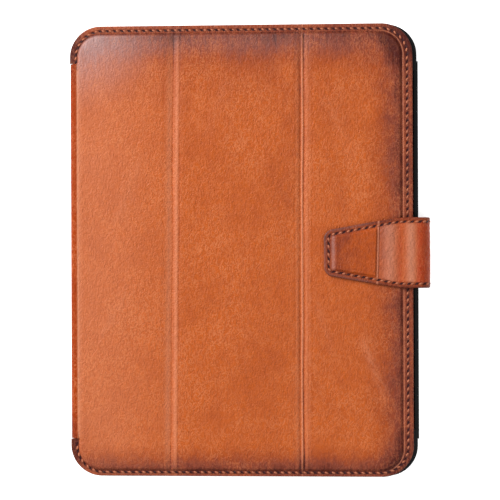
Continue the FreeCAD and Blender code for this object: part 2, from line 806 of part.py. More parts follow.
def make_front():
    """Front bezel with its window and key slots, the page keys and their switches."""
    outline = ("reader_radius",) * 4
    bezel = slab("front_bezel", reader_box("0"), "bezel_under", "reader_front", outline)
    cut_slab(bezel, screen_box("0"), "bezel_under", "reader_front", ("1.5",) * 4)
    soften(bezel, at_height("reader_front"), "0.35")
    for sign in ("-", "+"):
        middle = f"0 {sign} key_gap"
        slot = (
            "key_x - key_half_x - key_slack",
            "key_x + key_half_x + key_slack",
            f"{middle} - key_half_y - key_slack",
            f"{middle} + key_half_y + key_slack",
        )
        cut_slab(bezel, slot, "bezel_under", "reader_front", ("key_half_x",) * 4)
    for name, middle in (("page_back_key", "0 + key_gap"), ("page_forward_key", "0 - key_gap")):
        key = slab(
            name,
            (
                "key_x - key_half_x - 0.6",
                "key_x + key_half_x + 0.6",
                f"{middle} - key_half_y - 0.6",
                f"{middle} + key_half_y + 0.6",
            ),
            "bezel_under - 0.4",
            "bezel_under - 0.05",
            ("key_half_x",) * 4,
        )
        cap = (
            "key_x - key_half_x",
            "key_x + key_half_x",
            f"{middle} - key_half_y",
            f"{middle} + key_half_y",
        )
        add_slab(key, cap, "bezel_under - 0.2", "reader_front + 0.4", ("key_half_x - 0.2",) * 4)
        soften(key, at_height("reader_front + 0.4"), "0.3")
        sketch = new_sketch(key, "XY_Plane", "bezel_under - 0.55")
        round_loop(sketch, "key_x", middle, "1.2")
        pad(key, sketch, "0.25")
    key_board = slab(
        "key_board",
        ("key_x - 3.2", "key_x + 3.2", "-key_gap - 18", "key_gap + 18"),
        "frame_top",
        "frame_top + 0.25",
        ("1",) * 4,
    )
    # the middle screw of that side stands through the key board
    sketch = new_sketch(key_board, "XY_Plane", "frame_top + 0.25")
    round_loop(sketch, *SCREW_SPOTS[3], "1.75")
    pocket(key_board, sketch, "0.25")
    domes = []
    for middle in ("0 + key_gap", "0 - key_gap"):
        domes.append(
            primitive(
                "Part::Cylinder",
                "dome",
                {"Radius": "1.9", "Height": "0.2"},
                ("key_x", middle, "frame_top + 0.25"),
            )
        )
    group = doc.addObject("Part::Compound", "key_domes")
    group.Links = domes
    group.Label = "key_domes"
    sub_parts.append(group)

    edge = "reader_y + reader_half_y"
    level = ("housing_floor + 1", "housing_floor + 3.2")
    key = slab(
        "power_key",
        ("power_x - power_half", "power_x + power_half", f"{edge} - 2.2", f"{edge} + 0.5"),
        *level,
    )
    flange = (
        "power_x - power_half - 0.8",
        "power_x + power_half + 0.8",
        f"{edge} - 2.4",
        f"{edge} - 1.6",
    )
    add_slab(key, flange, *level)
    boxes(
        "power_switch",
        [("power_x - 2.2", "power_x + 2.2", f"{edge} - 5.4", f"{edge} - 2.9", *level)],
    )


# ---------------------------------------------------------------- build and write
make_back()
make_tray()
make_spine()
make_cover()
make_strap()
make_tab()
make_housing()
make_electronics()
make_display()
make_front()
doc.recompute()

failed = [o.Label for o in doc.Objects if {"Invalid", "Error"} & set(o.State)]
if failed:
    raise RuntimeError(f"objects that did not compute: {failed}")
for thing in sub_parts:
    if thing.Shape.isNull() or not thing.Shape.isValid():
        raise RuntimeError(f"{thing.Label} has no valid shape")

os.makedirs("parts", exist_ok=True)
for thing in sub_parts:
    thing.Shape.exportStep(f"parts/{thing.Label}.step")
    box = thing.Shape.BoundBox
    print(
        f"{thing.Label:20s} solids {len(thing.Shape.Solids)}"
        f"  x {box.XMin:7.2f} {box.XMax:7.2f}  y {box.YMin:7.2f} {box.YMax:7.2f}"
        f"  z {box.ZMin:6.2f} {box.ZMax:6.2f}  {thing.Shape.Volume / 1000:7.2f} cm3"
    )
print(len(sub_parts), "sub-parts")
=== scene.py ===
"""Looks for an e-paper reader in a closed tri-fold leather folio with a magnetic strap."""
import math

import bmesh
import bpy
import numpy as np
from mathutils import Matrix, Vector


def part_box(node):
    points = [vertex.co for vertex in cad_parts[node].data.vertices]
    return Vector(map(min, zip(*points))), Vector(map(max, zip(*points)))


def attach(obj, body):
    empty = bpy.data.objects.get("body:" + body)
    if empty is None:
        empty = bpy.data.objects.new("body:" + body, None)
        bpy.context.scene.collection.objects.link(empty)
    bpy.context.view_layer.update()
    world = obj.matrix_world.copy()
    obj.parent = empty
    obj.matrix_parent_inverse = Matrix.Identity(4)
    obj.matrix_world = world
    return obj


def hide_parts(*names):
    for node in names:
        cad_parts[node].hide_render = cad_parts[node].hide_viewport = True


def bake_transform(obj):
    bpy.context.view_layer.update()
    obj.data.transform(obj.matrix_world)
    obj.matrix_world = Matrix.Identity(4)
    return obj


# %% [markdown]
# ## The frame
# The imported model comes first. Every size used below is read from it, so that the leather
# goes exactly where the solids are. Blender works in metres; leather work is easier to
# think of in millimetres, so boxes are read in millimetres and points are turned back when
# a mesh is made. Wrapped leather is a little fuller than the solid it stands for, so its
# spine side lies FULLER millimetres further out, and its free edge a little.

# %% Load the model and read its sizes
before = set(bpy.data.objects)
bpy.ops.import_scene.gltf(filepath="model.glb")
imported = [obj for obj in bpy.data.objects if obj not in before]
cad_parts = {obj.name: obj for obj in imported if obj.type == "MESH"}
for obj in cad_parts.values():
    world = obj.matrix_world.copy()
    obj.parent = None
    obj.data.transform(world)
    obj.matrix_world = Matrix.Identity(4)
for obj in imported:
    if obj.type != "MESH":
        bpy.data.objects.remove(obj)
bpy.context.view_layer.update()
MM = 0.001


def box_mm(node):
    """Lowest and highest corner of a CAD node, in millimetres."""
    low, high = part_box(node)
    return np.array(low) / MM, np.array(high) / MM


COVER_LOW, _ = box_mm("panel_1_leather")
_, COVER_HIGH = box_mm("panel_3_leather")
LEFT, RIGHT, HALF = COVER_LOW[0], COVER_HIGH[0], COVER_HIGH[1]
UNDER, TOP = COVER_LOW[2], COVER_HIGH[2]
FOLDS = [float(sum(b[0] for b in box_mm(f"fold_{n}_strip")) / 2) for n in (1, 2)]
FOLD_HALF = 3.0
SPINE_HALF = float(box_mm("spine_leather")[1][1])
FULLER = 0.7
EDGE_LEFT, EDGE_RIGHT = LEFT - FULLER, RIGHT + 0.3 * FULLER
print("cover", LEFT, RIGHT, HALF, "folds", FOLDS, "spine half", SPINE_HALF)

# %% [markdown]
# ## Camera
# The folio is seen from straight above with a long lens, leaning a few degrees towards the
# strap, so that the black tray just shows along that side. A long lens from a metre away
# keeps the edges almost parallel, as in a catalogue picture.

# %% Camera
LEAN, ROLL = math.radians(3.7), math.radians(-0.22)
AIM = Vector((3.5, 0.3, 12.0)) * MM
DISTANCE = 1.0
lens = bpy.data.cameras.new("view")
lens.lens, lens.sensor_width = 128.6, 36.0
camera = bpy.data.objects.new("view", lens)
bpy.context.scene.collection.objects.link(camera)
away = Vector((math.sin(LEAN), 0.0, math.cos(LEAN)))
across = Vector((math.cos(LEAN), 0.0, -math.sin(LEAN)))
turn = Matrix((across, (0, 1, 0), away)).transposed() @ Matrix.Rotation(ROLL, 3, "Z")
camera.matrix_world = Matrix.Translation(AIM + away * DISTANCE) @ turn.to_4x4()
bpy.context.scene.camera = camera
bpy.context.scene.view_settings.view_transform = "Standard"

# %% [markdown]
# ## Floor and light
# A product table is a pale sheet lit until it is nearly white. A little emission in the
# floor does what the lamp under such a table does: it lifts the shadow round the object.
# The light is one big soft lamp from the upper left, which catches every slope that faces
# it, a weaker one opposite, and a dim grey room.


# %% A short way to add shader nodes
def add(tree, kind, values=None, **settings):
    """A node with its settings; a value is a number or another node's output to link."""
    node = tree.nodes.new("ShaderNode" + kind)
    for key, setting in settings.items():
        setattr(node, key, setting)
    for key, given in (values or {}).items():
        if isinstance(given, bpy.types.NodeSocket):
            tree.links.new(given, node.inputs[key])
        else:
            node.inputs[key].default_value = given
    return node


def paint(red, green, blue):
    """A screen colour of 0 to 255 as the linear colour a shader needs."""
    screen = np.array((red, green, blue)) / 255.0
    linear = np.where(screen <= 0.04045, screen / 12.92, ((screen + 0.055) / 1.055) ** 2.4)
    return (*linear, 1.0)


def new_material(name):
    """An empty node material and its tree."""
    material = bpy.data.materials.new(name)
    material.use_nodes = True
    material.node_tree.nodes.clear()
    return material, material.node_tree


# %% Floor, room and lamps
floor_mat, tree = new_material("pale_table")
specks = add(tree, "TexNoise", {"Scale": 40.0, "Detail": 3.0})
tint = add(tree, "MapRange", {"Value": specks.outputs["Fac"], "To Min": 0.86, "To Max": 0.9})
table = add(
    tree,
    "BsdfPrincipled",
    {"Base Color": tint.outputs["Result"], "Roughness": 0.9, "Emission Strength": 0.80},
)
table.inputs["Emission Color"].default_value = (1, 1, 1, 1)
add(tree, "OutputMaterial", {"Surface": table.outputs["BSDF"]})
bpy.ops.mesh.primitive_plane_add(size=6.0, location=(0, 0, -0.0004))
floor = bpy.context.object
floor.name = "floor"
floor.data.materials.append(floor_mat)

world = bpy.data.worlds.new("room")
world.use_nodes = True
world.node_tree.nodes["Background"].inputs["Color"].default_value = (1.0, 1.0, 1.0, 1.0)
world.node_tree.nodes["Background"].inputs["Strength"].default_value = 0.22
bpy.context.scene.world = world


def soft_lamp(name, place, size, watts):
    """A square area light that faces the object."""
    lamp = bpy.data.lights.new(name, "AREA")
    lamp.shape, lamp.size, lamp.energy = "SQUARE", size, watts
    holder = bpy.data.objects.new(name, lamp)
    bpy.context.scene.collection.objects.link(holder)
    holder.location = place
    holder.rotation_euler = (-Vector(place)).to_track_quat("-Z", "Y").to_euler()


soft_lamp("key_lamp", (-1.15, 0.75, 0.95), 1.0, 46.0)
soft_lamp("fill_lamp", (0.9, -0.8, 1.25), 1.2, 12.0)
print("camera", tuple(round(c, 4) for c in camera.location), "lamps ready")

# %% [markdown]
# ## Surfaces from formulas
# Leather pieces are grids of points. Each grid is a function of two directions: across the
# piece and along it. The same few helpers turn such a grid into a closed shell with a top,
# a bottom and walls, so that every piece is a real solid with its faces outwards.


# %% Helpers for smooth formulas
def smooth(t):
    """0 before 0, 1 after 1, and three t squared minus two t cubed between."""
    t = np.clip(t, 0.0, 1.0)
    return t * t * (3 - 2 * t)


def hump(t):
    """A bell: e to the power of minus t squared."""
    return np.exp(-(t ** 2))


LATTICE = 64


def drift(x, y, size_x, size_y, seed):
    """Slow random rise and fall, -1 to 1: random heights on a lattice of cells of size_x by
    size_y, joined smoothly."""
    heights = np.random.default_rng(seed).uniform(-1, 1, (LATTICE, LATTICE))
    u, v = x / size_x, y / size_y
    i, j = np.floor(u).astype(int), np.floor(v).astype(int)
    fu, fv = smooth(u - i), smooth(v - j)
    i0, i1, j0, j1 = (n % LATTICE for n in (i, i + 1, j, j + 1))
    near = heights[i0, j0] * (1 - fu) + heights[i1, j0] * fu
    far = heights[i0, j1] * (1 - fu) + heights[i1, j1] * fu
    return near * (1 - fv) + far * fv


def inset(x, y, low, high, radius):
    """How far inside a rectangle with rounded corners a point is: the radius, less the
    distance from the rectangle of the corners' centres."""
    qx = np.abs(x - (low[0] + high[0]) / 2) - ((high[0] - low[0]) / 2 - radius)
    qy = np.abs(y - (low[1] + high[1]) / 2) - ((high[1] - low[1]) / 2 - radius)
    outside = np.hypot(np.maximum(qx, 0), np.maximum(qy, 0))
    return radius - outside - np.minimum(np.maximum(qx, qy), 0)


def stops(*runs):
    """Numbers from run to run: each run is its end and its step, the first only an end."""
    parts = [np.array([runs[0]])]
    for end, step in runs[1:]:
        start = parts[-1][-1]
        parts.append(np.linspace(start, end, max(2, int(abs(end - start) / step) + 2))[1:])
    return np.concatenate(parts)


# %% Helpers for meshes
NO_SEAM = (0.0, 30.0, 0.0)


def grid_faces(rows, cols, first=0):
    """Quads of a grid whose columns run left to right and whose rows run away."""
    at = first + np.arange(rows * cols).reshape(rows, cols)
    corners = (at[:-1, :-1], at[:-1, 1:], at[1:, 1:], at[1:, :-1])
    return np.stack([c.ravel() for c in corners], axis=1)


def rim_of(rows, cols):
    """Indices round the edge of a grid, anticlockwise from its first corner."""
    at = np.arange(rows * cols).reshape(rows, cols)
    return np.concatenate((at[0, :-1], at[:-1, -1], at[-1, :0:-1], at[:0:-1, 0]))


def shell(name, top, bottom, materials, seam=None, wear_and_painted_light=None):
    """A closed piece from a grid of top points and either a grid of bottom points or one
    flat level. Walls join the two rims. Points are millimetres."""
    rows, cols = top.shape[:2]
    points, rim = top.reshape(-1, 3), rim_of(rows, cols)
    count = len(points)
    faces = grid_faces(rows, cols).tolist()
    kinds = [0] * len(faces)
    if np.ndim(bottom) == 0:
        below = points[rim].copy()
        below[:, 2] = bottom
        low_rim = count + np.arange(len(rim))
        under = [low_rim[::-1].tolist()]
    else:
        below = bottom.reshape(-1, 3)
        low_rim = count + rim
        under = grid_faces(rows, cols, count)[:, ::-1].tolist()
    nxt = np.roll(np.arange(len(rim)), -1)
    walls = np.stack((rim, low_rim, low_rim[nxt], rim[nxt]), axis=1).tolist()
    faces += walls + under
    kinds += [1] * len(walls) + [2] * len(under)
    mesh = bpy.data.meshes.new(name)
    mesh.from_pydata((np.concatenate((points, below)) * MM).tolist(), [], faces)
    for material in materials:
        mesh.materials.append(material)
    mesh.polygons.foreach_set("material_index", kinds)
    mesh.polygons.foreach_set("use_smooth", [True] * len(faces))
    for label, values, plain in (("seam", seam, NO_SEAM), ("wear_and_painted_light", wear_and_painted_light, (1.0, 0.0, 0.0))):
        if values is not None:
            rest = np.tile(plain, (len(below), 1))
            whole = np.concatenate((values.reshape(-1, 3), rest)).astype(np.float32)
            layer = mesh.attributes.new(label, "FLOAT_VECTOR", "POINT")
            layer.data.foreach_set("vector", whole.ravel())
    mesh.set_sharp_from_angle(angle=math.radians(50))
    mesh.update()
    piece = bpy.data.objects.new(name, mesh)
    bpy.context.scene.collection.objects.link(piece)
    return piece


def check_outward(piece):
    """Prints the volume that the faces close in; it is negative if they point inwards."""
    solid = bmesh.new()
    solid.from_mesh(piece.data)
    volume = solid.calc_volume(signed=True) / MM ** 3 / 1000
    print(f"{piece.name}: {len(piece.data.polygons)} faces, {volume:.2f} cm3")
    solid.free()


def hold(piece, bodies):
    """Lets a piece ride on one body; with two bodies it only has its placement baked into
    its mesh."""
    if len(bodies) == 1:
        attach(piece, bodies[0])
    else:
        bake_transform(piece)


def stand_for(piece, nodes, bodies):
    """Puts a piece in the place of its CAD nodes, which it hides, and passes it to hold."""
    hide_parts(*nodes)
    hold(piece, bodies)


# %% Helpers for stitch lines
REACH, SAMPLE, CHUNK = 6.0, 0.5, 20000
RINGS, SIDES = 7, 6


def rounded_line(corners, radii):
    """Straight runs joined by arcs, as evenly spaced points: each arc touches both of its
    runs, so its centre lies on the line that halves the corner."""
    corners = [np.array(c, float) for c in corners]
    points = [corners[0]]
    for before, corner, after, radius in zip(corners, corners[1:], corners[2:], radii):
        u = (before - corner) / np.linalg.norm(before - corner)
        v = (after - corner) / np.linalg.norm(after - corner)
        half = math.acos(np.clip(u @ v, -1, 1)) / 2
        centre = corner + (u + v) / np.linalg.norm(u + v) * radius / math.sin(half)
        first, last = corner + u * radius / math.tan(half), corner + v * radius / math.tan(half)
        a = math.atan2(*(first - centre)[::-1])
        b = math.atan2(*(last - centre)[::-1])
        b += 2 * math.pi * round((a - b) / (2 * math.pi))
        angles = np.linspace(a, b, 24)
        points += list(centre + radius * np.stack((np.cos(angles), np.sin(angles)), axis=1))
    points = np.array(points + [corners[-1]])
    run = np.concatenate(([0], np.cumsum(np.linalg.norm(np.diff(points, axis=0), axis=1))))
    even = np.arange(0, run[-1], SAMPLE)
    return np.stack((np.interp(even, run, points[:, 0]), np.interp(even, run, points[:, 1])), 1)


def follow(line, x, y, pitch):
    """For each point near the line: how many stitches along it is, and how far to its left
    in millimetres. The nearest sample gives both, by its direction. A coarse line finds the
    points within reach first, so that few distances are worked out."""
    flat = np.stack((x.ravel(), y.ravel()), axis=1)
    along = np.gradient(line, axis=0)
    along /= np.linalg.norm(along, axis=1)[:, None]
    result = np.tile(NO_SEAM, (len(flat), 1))
    coarse = line[::8]
    for start in range(0, len(flat), CHUNK):
        part = flat[start:start + CHUNK]
        gap = ((part[:, None, :] - coarse[None]) ** 2).sum(2)
        near = np.flatnonzero(gap.min(1) < (REACH + 3) ** 2)
        if len(near) == 0:
            continue
        gap = ((part[near][:, None, :] - line[None]) ** 2).sum(2)
        best = gap.argmin(1)
        offset = part[near] - line[best]
        ahead = (offset * along[best]).sum(1)
        left = along[best, 0] * offset[:, 1] - along[best, 1] * offset[:, 0]
        result[start + near, 0] = (best * SAMPLE + ahead) / pitch
        result[start + near, 1] = np.where(gap.min(1) < REACH ** 2, left, NO_SEAM[1])
    return result.reshape(*x.shape, 3)


def thread(name, spots, along, up, length, radius, material, slant=0.0):
    """Stitches, each like a grain of rice: rings whose radius is an ellipse's, and whose
    middle line bows up from one hole and down into the next."""
    side = np.cross(up, along)
    way = along * math.cos(slant) + side * math.sin(slant)
    side = np.cross(up, way)
    t = np.linspace(-1, 1, RINGS)[None, :, None, None]
    angle = np.linspace(0, 2 * math.pi, SIDES + 1)[:-1][None, None, :, None]
    thick = radius * np.sqrt(np.clip(1.04 - t ** 2, 0.0, 1)) ** 0.8
    spots, way, side, up = (a[:, None, None, :] for a in (spots, way, side, up))
    points = spots + way * t * length / 2 + side * np.cos(angle) * thick
    points = points + up * (np.sin(angle) * thick * 0.75 - 0.42 * t ** 4)
    ring = np.arange(RINGS * SIDES).reshape(RINGS, SIDES)
    nxt = np.roll(ring, -1, axis=1)
    quads = np.stack((ring[:-1], nxt[:-1], nxt[1:], ring[1:]), axis=-1).reshape(-1, 4)
    shift = (np.arange(len(points)) * ring.size)[:, None, None]
    faces = (quads[None] + shift).reshape(-1, 4).tolist()
    ends = np.stack((ring[0][::-1], ring[-1]))
    faces += (ends[None] + shift).reshape(-1, SIDES).tolist()
    mesh = bpy.data.meshes.new(name)
    mesh.from_pydata((points.reshape(-1, 3) * MM).tolist(), [], faces)
    mesh.materials.append(material)
    mesh.polygons.foreach_set("use_smooth", [True] * len(faces))
    mesh.update()
    piece = bpy.data.objects.new(name, mesh)
    bpy.context.scene.collection.objects.link(piece)
    return piece


def stitch_frames(line, pitch):
    """Middle and direction of each stitch along a line of points, from half a pitch on."""
    count = int(len(line) * SAMPLE / pitch - 0.5)
    at = ((np.arange(count) + 0.5) * pitch / SAMPLE).astype(int)
    direction = np.gradient(line, axis=0)[at]
    return line[at], direction / np.linalg.norm(direction, axis=1)[:, None]


def sew(name, frames, chosen, size, bodies):
    """The chosen stitches as one piece, riding on its body when it has only one. Frames are
    their middles, their directions and their ups; size is length, radius and slant."""
    length, radius, slant = size
    run = thread(name, *(part[chosen] for part in frames), length, radius, waxed_thread, slant)
    hold(run, bodies)
    print(name, "count:", int(np.sum(chosen)))


# %% [markdown]
# ## Finishes that share effects
# Leather, moulded plastic and cloth all show grain, slow changes of tone and pores. Each of
# those is one node group, built once and given its own numbers in each material. Patterns
# are placed by object coordinates, scaled to millimetres.


# %% Node groups
def new_group(name, inputs, outputs):
    """A shader node group with float inputs (name: default) and float outputs."""
    group = bpy.data.node_groups.new(name, "ShaderNodeTree")
    vector = group.interface.new_socket("Vector", in_out="INPUT", socket_type="NodeSocketVector")
    vector.hide_value = True
    for label, default in inputs.items():
        socket = group.interface.new_socket(label, in_out="INPUT", socket_type="NodeSocketFloat")
        socket.default_value = default
    for label in outputs:
        group.interface.new_socket(label, in_out="OUTPUT", socket_type="NodeSocketFloat")
    start = group.nodes.new("NodeGroupInput")
    end = group.nodes.new("NodeGroupOutput")
    return group, start.outputs, end.inputs


def scaled(tree, vector, scale, turned=0.0):
    """The vector times three factors, then turned about z."""
    values = {"Vector": vector, "Scale": scale, "Rotation": (0.0, 0.0, turned)}
    return add(tree, "Mapping", values).outputs["Vector"]


def maths(tree, operation, *terms):
    """What a Math node makes of its terms; MULTIPLY_ADD is the first two's product plus the
    third."""
    return add(tree, "Math", dict(enumerate(terms)), operation=operation).outputs["Value"]


def ranged(tree, value, low, high, start=0.0, end=1.0):
    """The value's way from low to high turned into the way from start to end."""
    values = {"Value": value, "From Min": low, "From Max": high, "To Min": start, "To Max": end}
    return add(tree, "MapRange", values).outputs["Result"]


def noise(tree, vector, scale, detail, rough=0.5, distortion=0.0):
    """Fractal noise, 0 to 1."""
    values = {"Vector": vector, "Scale": scale, "Detail": detail}
    values.update({"Roughness": rough, "Distortion": distortion})
    return add(tree, "TexNoise", values).outputs["Fac"]


leather_grain, given, out = new_group("leather_grain", {"Cell": 1.0}, ["Height", "Pores"])
cell_at = {"Vector": given["Vector"], "Scale": given["Cell"]}
cells = add(leather_grain, "TexVoronoi", cell_at, feature="SMOOTH_F1").outputs["Distance"]
wisps = noise(leather_grain, given["Vector"], given["Cell"], 5.0, 0.6)
leather_grain.links.new(maths(leather_grain, "MULTIPLY_ADD", cells, -0.6, wisps), out["Height"])
leather_grain.links.new(ranged(leather_grain, cells, 0.55, 0.8), out["Pores"])

tone, given, out = new_group("slow_tone", {"Scale": 0.05, "Low": 0.35, "High": 0.65}, ["Fac"])
clouds = noise(tone, given["Vector"], given["Scale"], 4.0, 0.55)
tone.links.new(ranged(tone, clouds, given["Low"], given["High"]), out["Fac"])

strokes, given, out = new_group("brush_strokes", {"Scale": 0.6}, ["Fac"])
stretched = scaled(strokes, given["Vector"], (1.0, 0.13, 1.0))
hairs = noise(strokes, stretched, given["Scale"], 5.0, 0.65)
strokes.links.new(ranged(strokes, hairs, 0.3, 0.7), out["Fac"])

wrinkles, given, out = new_group("fine_wrinkles", {"Scale": 0.4}, ["Crease", "Top", "Height"])
skewed = scaled(wrinkles, given["Vector"], (1.0, 0.6, 1.0), 0.6)
flow = noise(wrinkles, skewed, given["Scale"], 3.0, 0.5, 1.2)
for label, level, width in (("Crease", 0.44, 0.05), ("Top", 0.51, 0.06)):
    off = maths(wrinkles, "ABSOLUTE", maths(wrinkles, "SUBTRACT", flow, level))
    wrinkles.links.new(ranged(wrinkles, off, width, 0.0), out[label])
wrinkles.links.new(ranged(wrinkles, flow, 0.3, 0.7), out["Height"])
print("node groups:", [group.name for group in bpy.data.node_groups])


# %% Helpers for materials
def use_group(tree, group, vector, **values):
    """A placed group node; its outputs are read by name."""
    node = tree.nodes.new("ShaderNodeGroup")
    node.node_tree = group
    tree.links.new(vector, node.inputs["Vector"])
    for key, number in values.items():
        node.inputs[key].default_value = number
    return node.outputs


def millimetres(tree):
    """Object coordinates in millimetres."""
    return scaled(tree, add(tree, "TexCoord").outputs["Object"], (1 / MM,) * 3)


def mix_colour(tree, factor, a, b):
    """Colour a where the factor is 0, colour b where it is 1."""
    return add(tree, "Mix", {0: factor, 6: a, 7: b}, data_type="RGBA").outputs[2]


def finish_material(tree, colour, roughness, height, depth, **shader):
    """Principled shader with a colour, a roughness and a bump whose depth is millimetres."""
    bump = add(tree, "Bump", {"Height": height, "Distance": depth * MM, "Strength": 1.0})
    normal = bump.outputs["Normal"]
    values = {"Base Color": colour, "Roughness": roughness, "Normal": normal}
    values.update({key.replace("_", " "): number for key, number in shader.items()})
    surface = add(tree, "BsdfPrincipled", values)
    add(tree, "OutputMaterial", {"Surface": surface.outputs["BSDF"]})


# %% [markdown]
# ## Burnished leather
# Vegetable-tanned leather is rubbed with dark wax along its borders, so its colour runs from
# bright orange tan in the middle to brown at the edges, in soft vertical strokes. Light and
# shade are painted in as well: how burnished it is together with painted shade, how much
# paler it is together with painted highlights, and how much painted sheen it shows comes with
# the mesh in an attribute of wear and painted light; a second one, seam, counts stitches
# along the seam and gives the distance from it, which places the awl holes and their painted
# shade.

# %% Leather material
LIGHT, GLARE = 1.29, 0.021
RAMP_PLACES = (0.0, 0.42, 0.72, 1.0)
# Colours of painted shade in the awl holes and the fine creases, of the darker stitch channel, and
# of painted highlights on the tops of the wrinkles.
HOLE_SHADE_TINT, CHANNEL_TINT = (62, 34, 28), (84, 44, 36)
CREASE_SHADE_TINT, TOP_HIGHLIGHT_TINT = (134, 62, 34), (228, 140, 96)


def seen(red, green, blue):
    """The paint that looks like this screen colour under these lamps: the surface's own
    reflection is taken off and the rest is divided by the light that falls on it."""
    wanted = (np.array(paint(red, green, blue)[:3]) - GLARE) / LIGHT
    return (*np.maximum(wanted, 0.003), 1.0)


def burnished(tree, worn_and_lit, stroke, cloud, small, ramp_colours):
    """Tan to brown along a ramp by burnish and painted shade, strokes, clouds and small spots."""
    rub = maths(tree, "MULTIPLY", worn_and_lit["X"], 0.32)
    swing = maths(tree, "SUBTRACT", stroke, 0.5)
    burnish_and_shade = maths(tree, "MULTIPLY_ADD", swing, rub, worn_and_lit["X"])
    burnish_and_shade = maths(tree, "MULTIPLY_ADD", cloud, 0.17, burnish_and_shade)
    burnish_and_shade = maths(tree, "MULTIPLY_ADD", small, 0.13, burnish_and_shade)
    ramp = add(tree, "ValToRGB", {"Fac": maths(tree, "SUBTRACT", burnish_and_shade, 0.07)})
    elements = ramp.color_ramp.elements
    while len(elements) < len(RAMP_PLACES):
        elements.new(0.5)
    for element, position, colour in zip(elements, RAMP_PLACES, ramp_colours):
        element.position, element.color = position, seen(*colour)
    return ramp.outputs["Color"]


def awl_holes(tree, colour):
    """Painted shade of the awl holes between the stitches: dark slits, each half a stitch from
    the middle of one and leaning a little, in a channel that is darker than the skin."""
    seam = add(tree, "Attribute", attribute_name="seam").outputs["Vector"]
    sewn = add(tree, "SeparateXYZ", {"Vector": seam}).outputs
    part = maths(tree, "FRACT", maths(tree, "MULTIPLY_ADD", sewn["Y"], 0.20, sewn["X"]))
    off = maths(tree, "ABSOLUTE", maths(tree, "SUBTRACT", part, 0.5))
    from_hole = maths(tree, "SUBTRACT", 0.5, off)
    aside = maths(tree, "ABSOLUTE", sewn["Y"])
    near = ranged(tree, from_hole, 0.17, 0.24, 1.0, 0.0)
    inside = ranged(tree, aside, 0.55, 0.85, 1.0, 0.0)
    colour = mix_colour(tree, maths(tree, "MULTIPLY", near, inside), colour, seen(*HOLE_SHADE_TINT))
    channel = ranged(tree, aside, 0.5, 1.5, 0.35, 0.0)
    return mix_colour(tree, channel, colour, seen(*CHANNEL_TINT))


def leather(name, ramp_colours, pale, painted_sheen, grain=1.1, depth=0.2, gloss=0.2, wrinkled=1.0):
    """Burnished skin, paler and with painted shade, painted highlights and painted sheen
    where its attribute of wear and painted light says so. Fine wrinkles get painted shade
    in their creases and a painted highlight on top, more so where the colour is light, and
    pores darken it."""
    material, tree = new_material(name)
    place = millimetres(tree)
    wear_and_painted_light = add(tree, "Attribute", attribute_name="wear_and_painted_light").outputs["Vector"]
    worn_and_lit = add(tree, "SeparateXYZ", {"Vector": wear_and_painted_light}).outputs
    stroke = use_group(tree, strokes, place, Scale=0.55)["Fac"]
    cloud = use_group(tree, tone, place, Scale=0.045)["Fac"]
    small = use_group(tree, tone, place, Scale=0.35)["Fac"]
    colour = burnished(tree, worn_and_lit, stroke, cloud, small, ramp_colours)
    # Paler, and painted highlights, where the attribute's second number says so.
    colour = mix_colour(tree, worn_and_lit["Y"], colour, seen(*pale))
    # Painted sheen: a whitish reflection, stronger along the strokes, where the third number says
    # so.
    sheen_share = maths(tree, "MULTIPLY", maths(tree, "MULTIPLY_ADD", stroke, 0.4, 0.65), worn_and_lit["Z"])
    colour = mix_colour(tree, sheen_share, colour, seen(*painted_sheen))
    pores = use_group(tree, leather_grain, place, Cell=grain)
    lines = use_group(tree, wrinkles, place, Scale=0.52)
    patch = maths(tree, "MULTIPLY_ADD", cloud, -1.2, 1.40)
    dots = maths(tree, "MULTIPLY", pores["Pores"], 0.16)
    # Painted shade in the creases of the fine wrinkles; pores darken too.
    shade = maths(tree, "MULTIPLY", lines["Crease"], patch)
    shade = maths(tree, "MULTIPLY_ADD", shade, 0.22 * wrinkled, dots)
    colour = mix_colour(tree, shade, colour, seen(*CREASE_SHADE_TINT))
    # Painted highlight on the tops of the fine wrinkles, less where the skin is burnished.
    lit = maths(tree, "MULTIPLY_ADD", worn_and_lit["X"], -0.24 * wrinkled, 0.46 * wrinkled)
    lit = maths(tree, "MULTIPLY", maths(tree, "MULTIPLY", lit, patch), lines["Top"])
    colour = mix_colour(tree, lit, colour, seen(*TOP_HIGHLIGHT_TINT))
    height = maths(tree, "ADD", lines["Height"], pores["Height"])
    colour = awl_holes(tree, colour)
    rough = ranged(tree, small, 0.0, 1.0, 0.42, 0.58)
    finish_material(tree, colour, rough, height, depth, Specular_IOR_Level=gloss)
    return material


TAN = ((206, 102, 50), (178, 86, 50), (146, 75, 58), (92, 48, 44))
# The spine is the same skin as the cover, but its ramp is darker and deeper: painted shade that
# takes back the strong key light falling on its left-facing bend.
SPINE_SHADED_TAN = ((170, 76, 10), (152, 66, 14), (112, 50, 26), (70, 38, 32))
STRAP_TAN = ((182, 72, 6), (190, 90, 46), (150, 72, 50), (100, 58, 52))
# After each ramp come the pale colour, which is also that of the painted highlights, and the colour
# of the painted sheen.
cover_leather = leather("burnished_tan_leather", TAN, (226, 142, 106), (200, 162, 158))
spine_leather = leather(
    "spine_leather_painted_shade", SPINE_SHADED_TAN, (206, 118, 82), (190, 140, 128), gloss=0.04
)
strap_skin = leather(
    "burnished_strap_leather", STRAP_TAN, (222, 146, 116), (176, 128, 118), 1.3, wrinkled=0.5
)
print("leathers:", cover_leather.name, spine_leather.name, strap_skin.name)


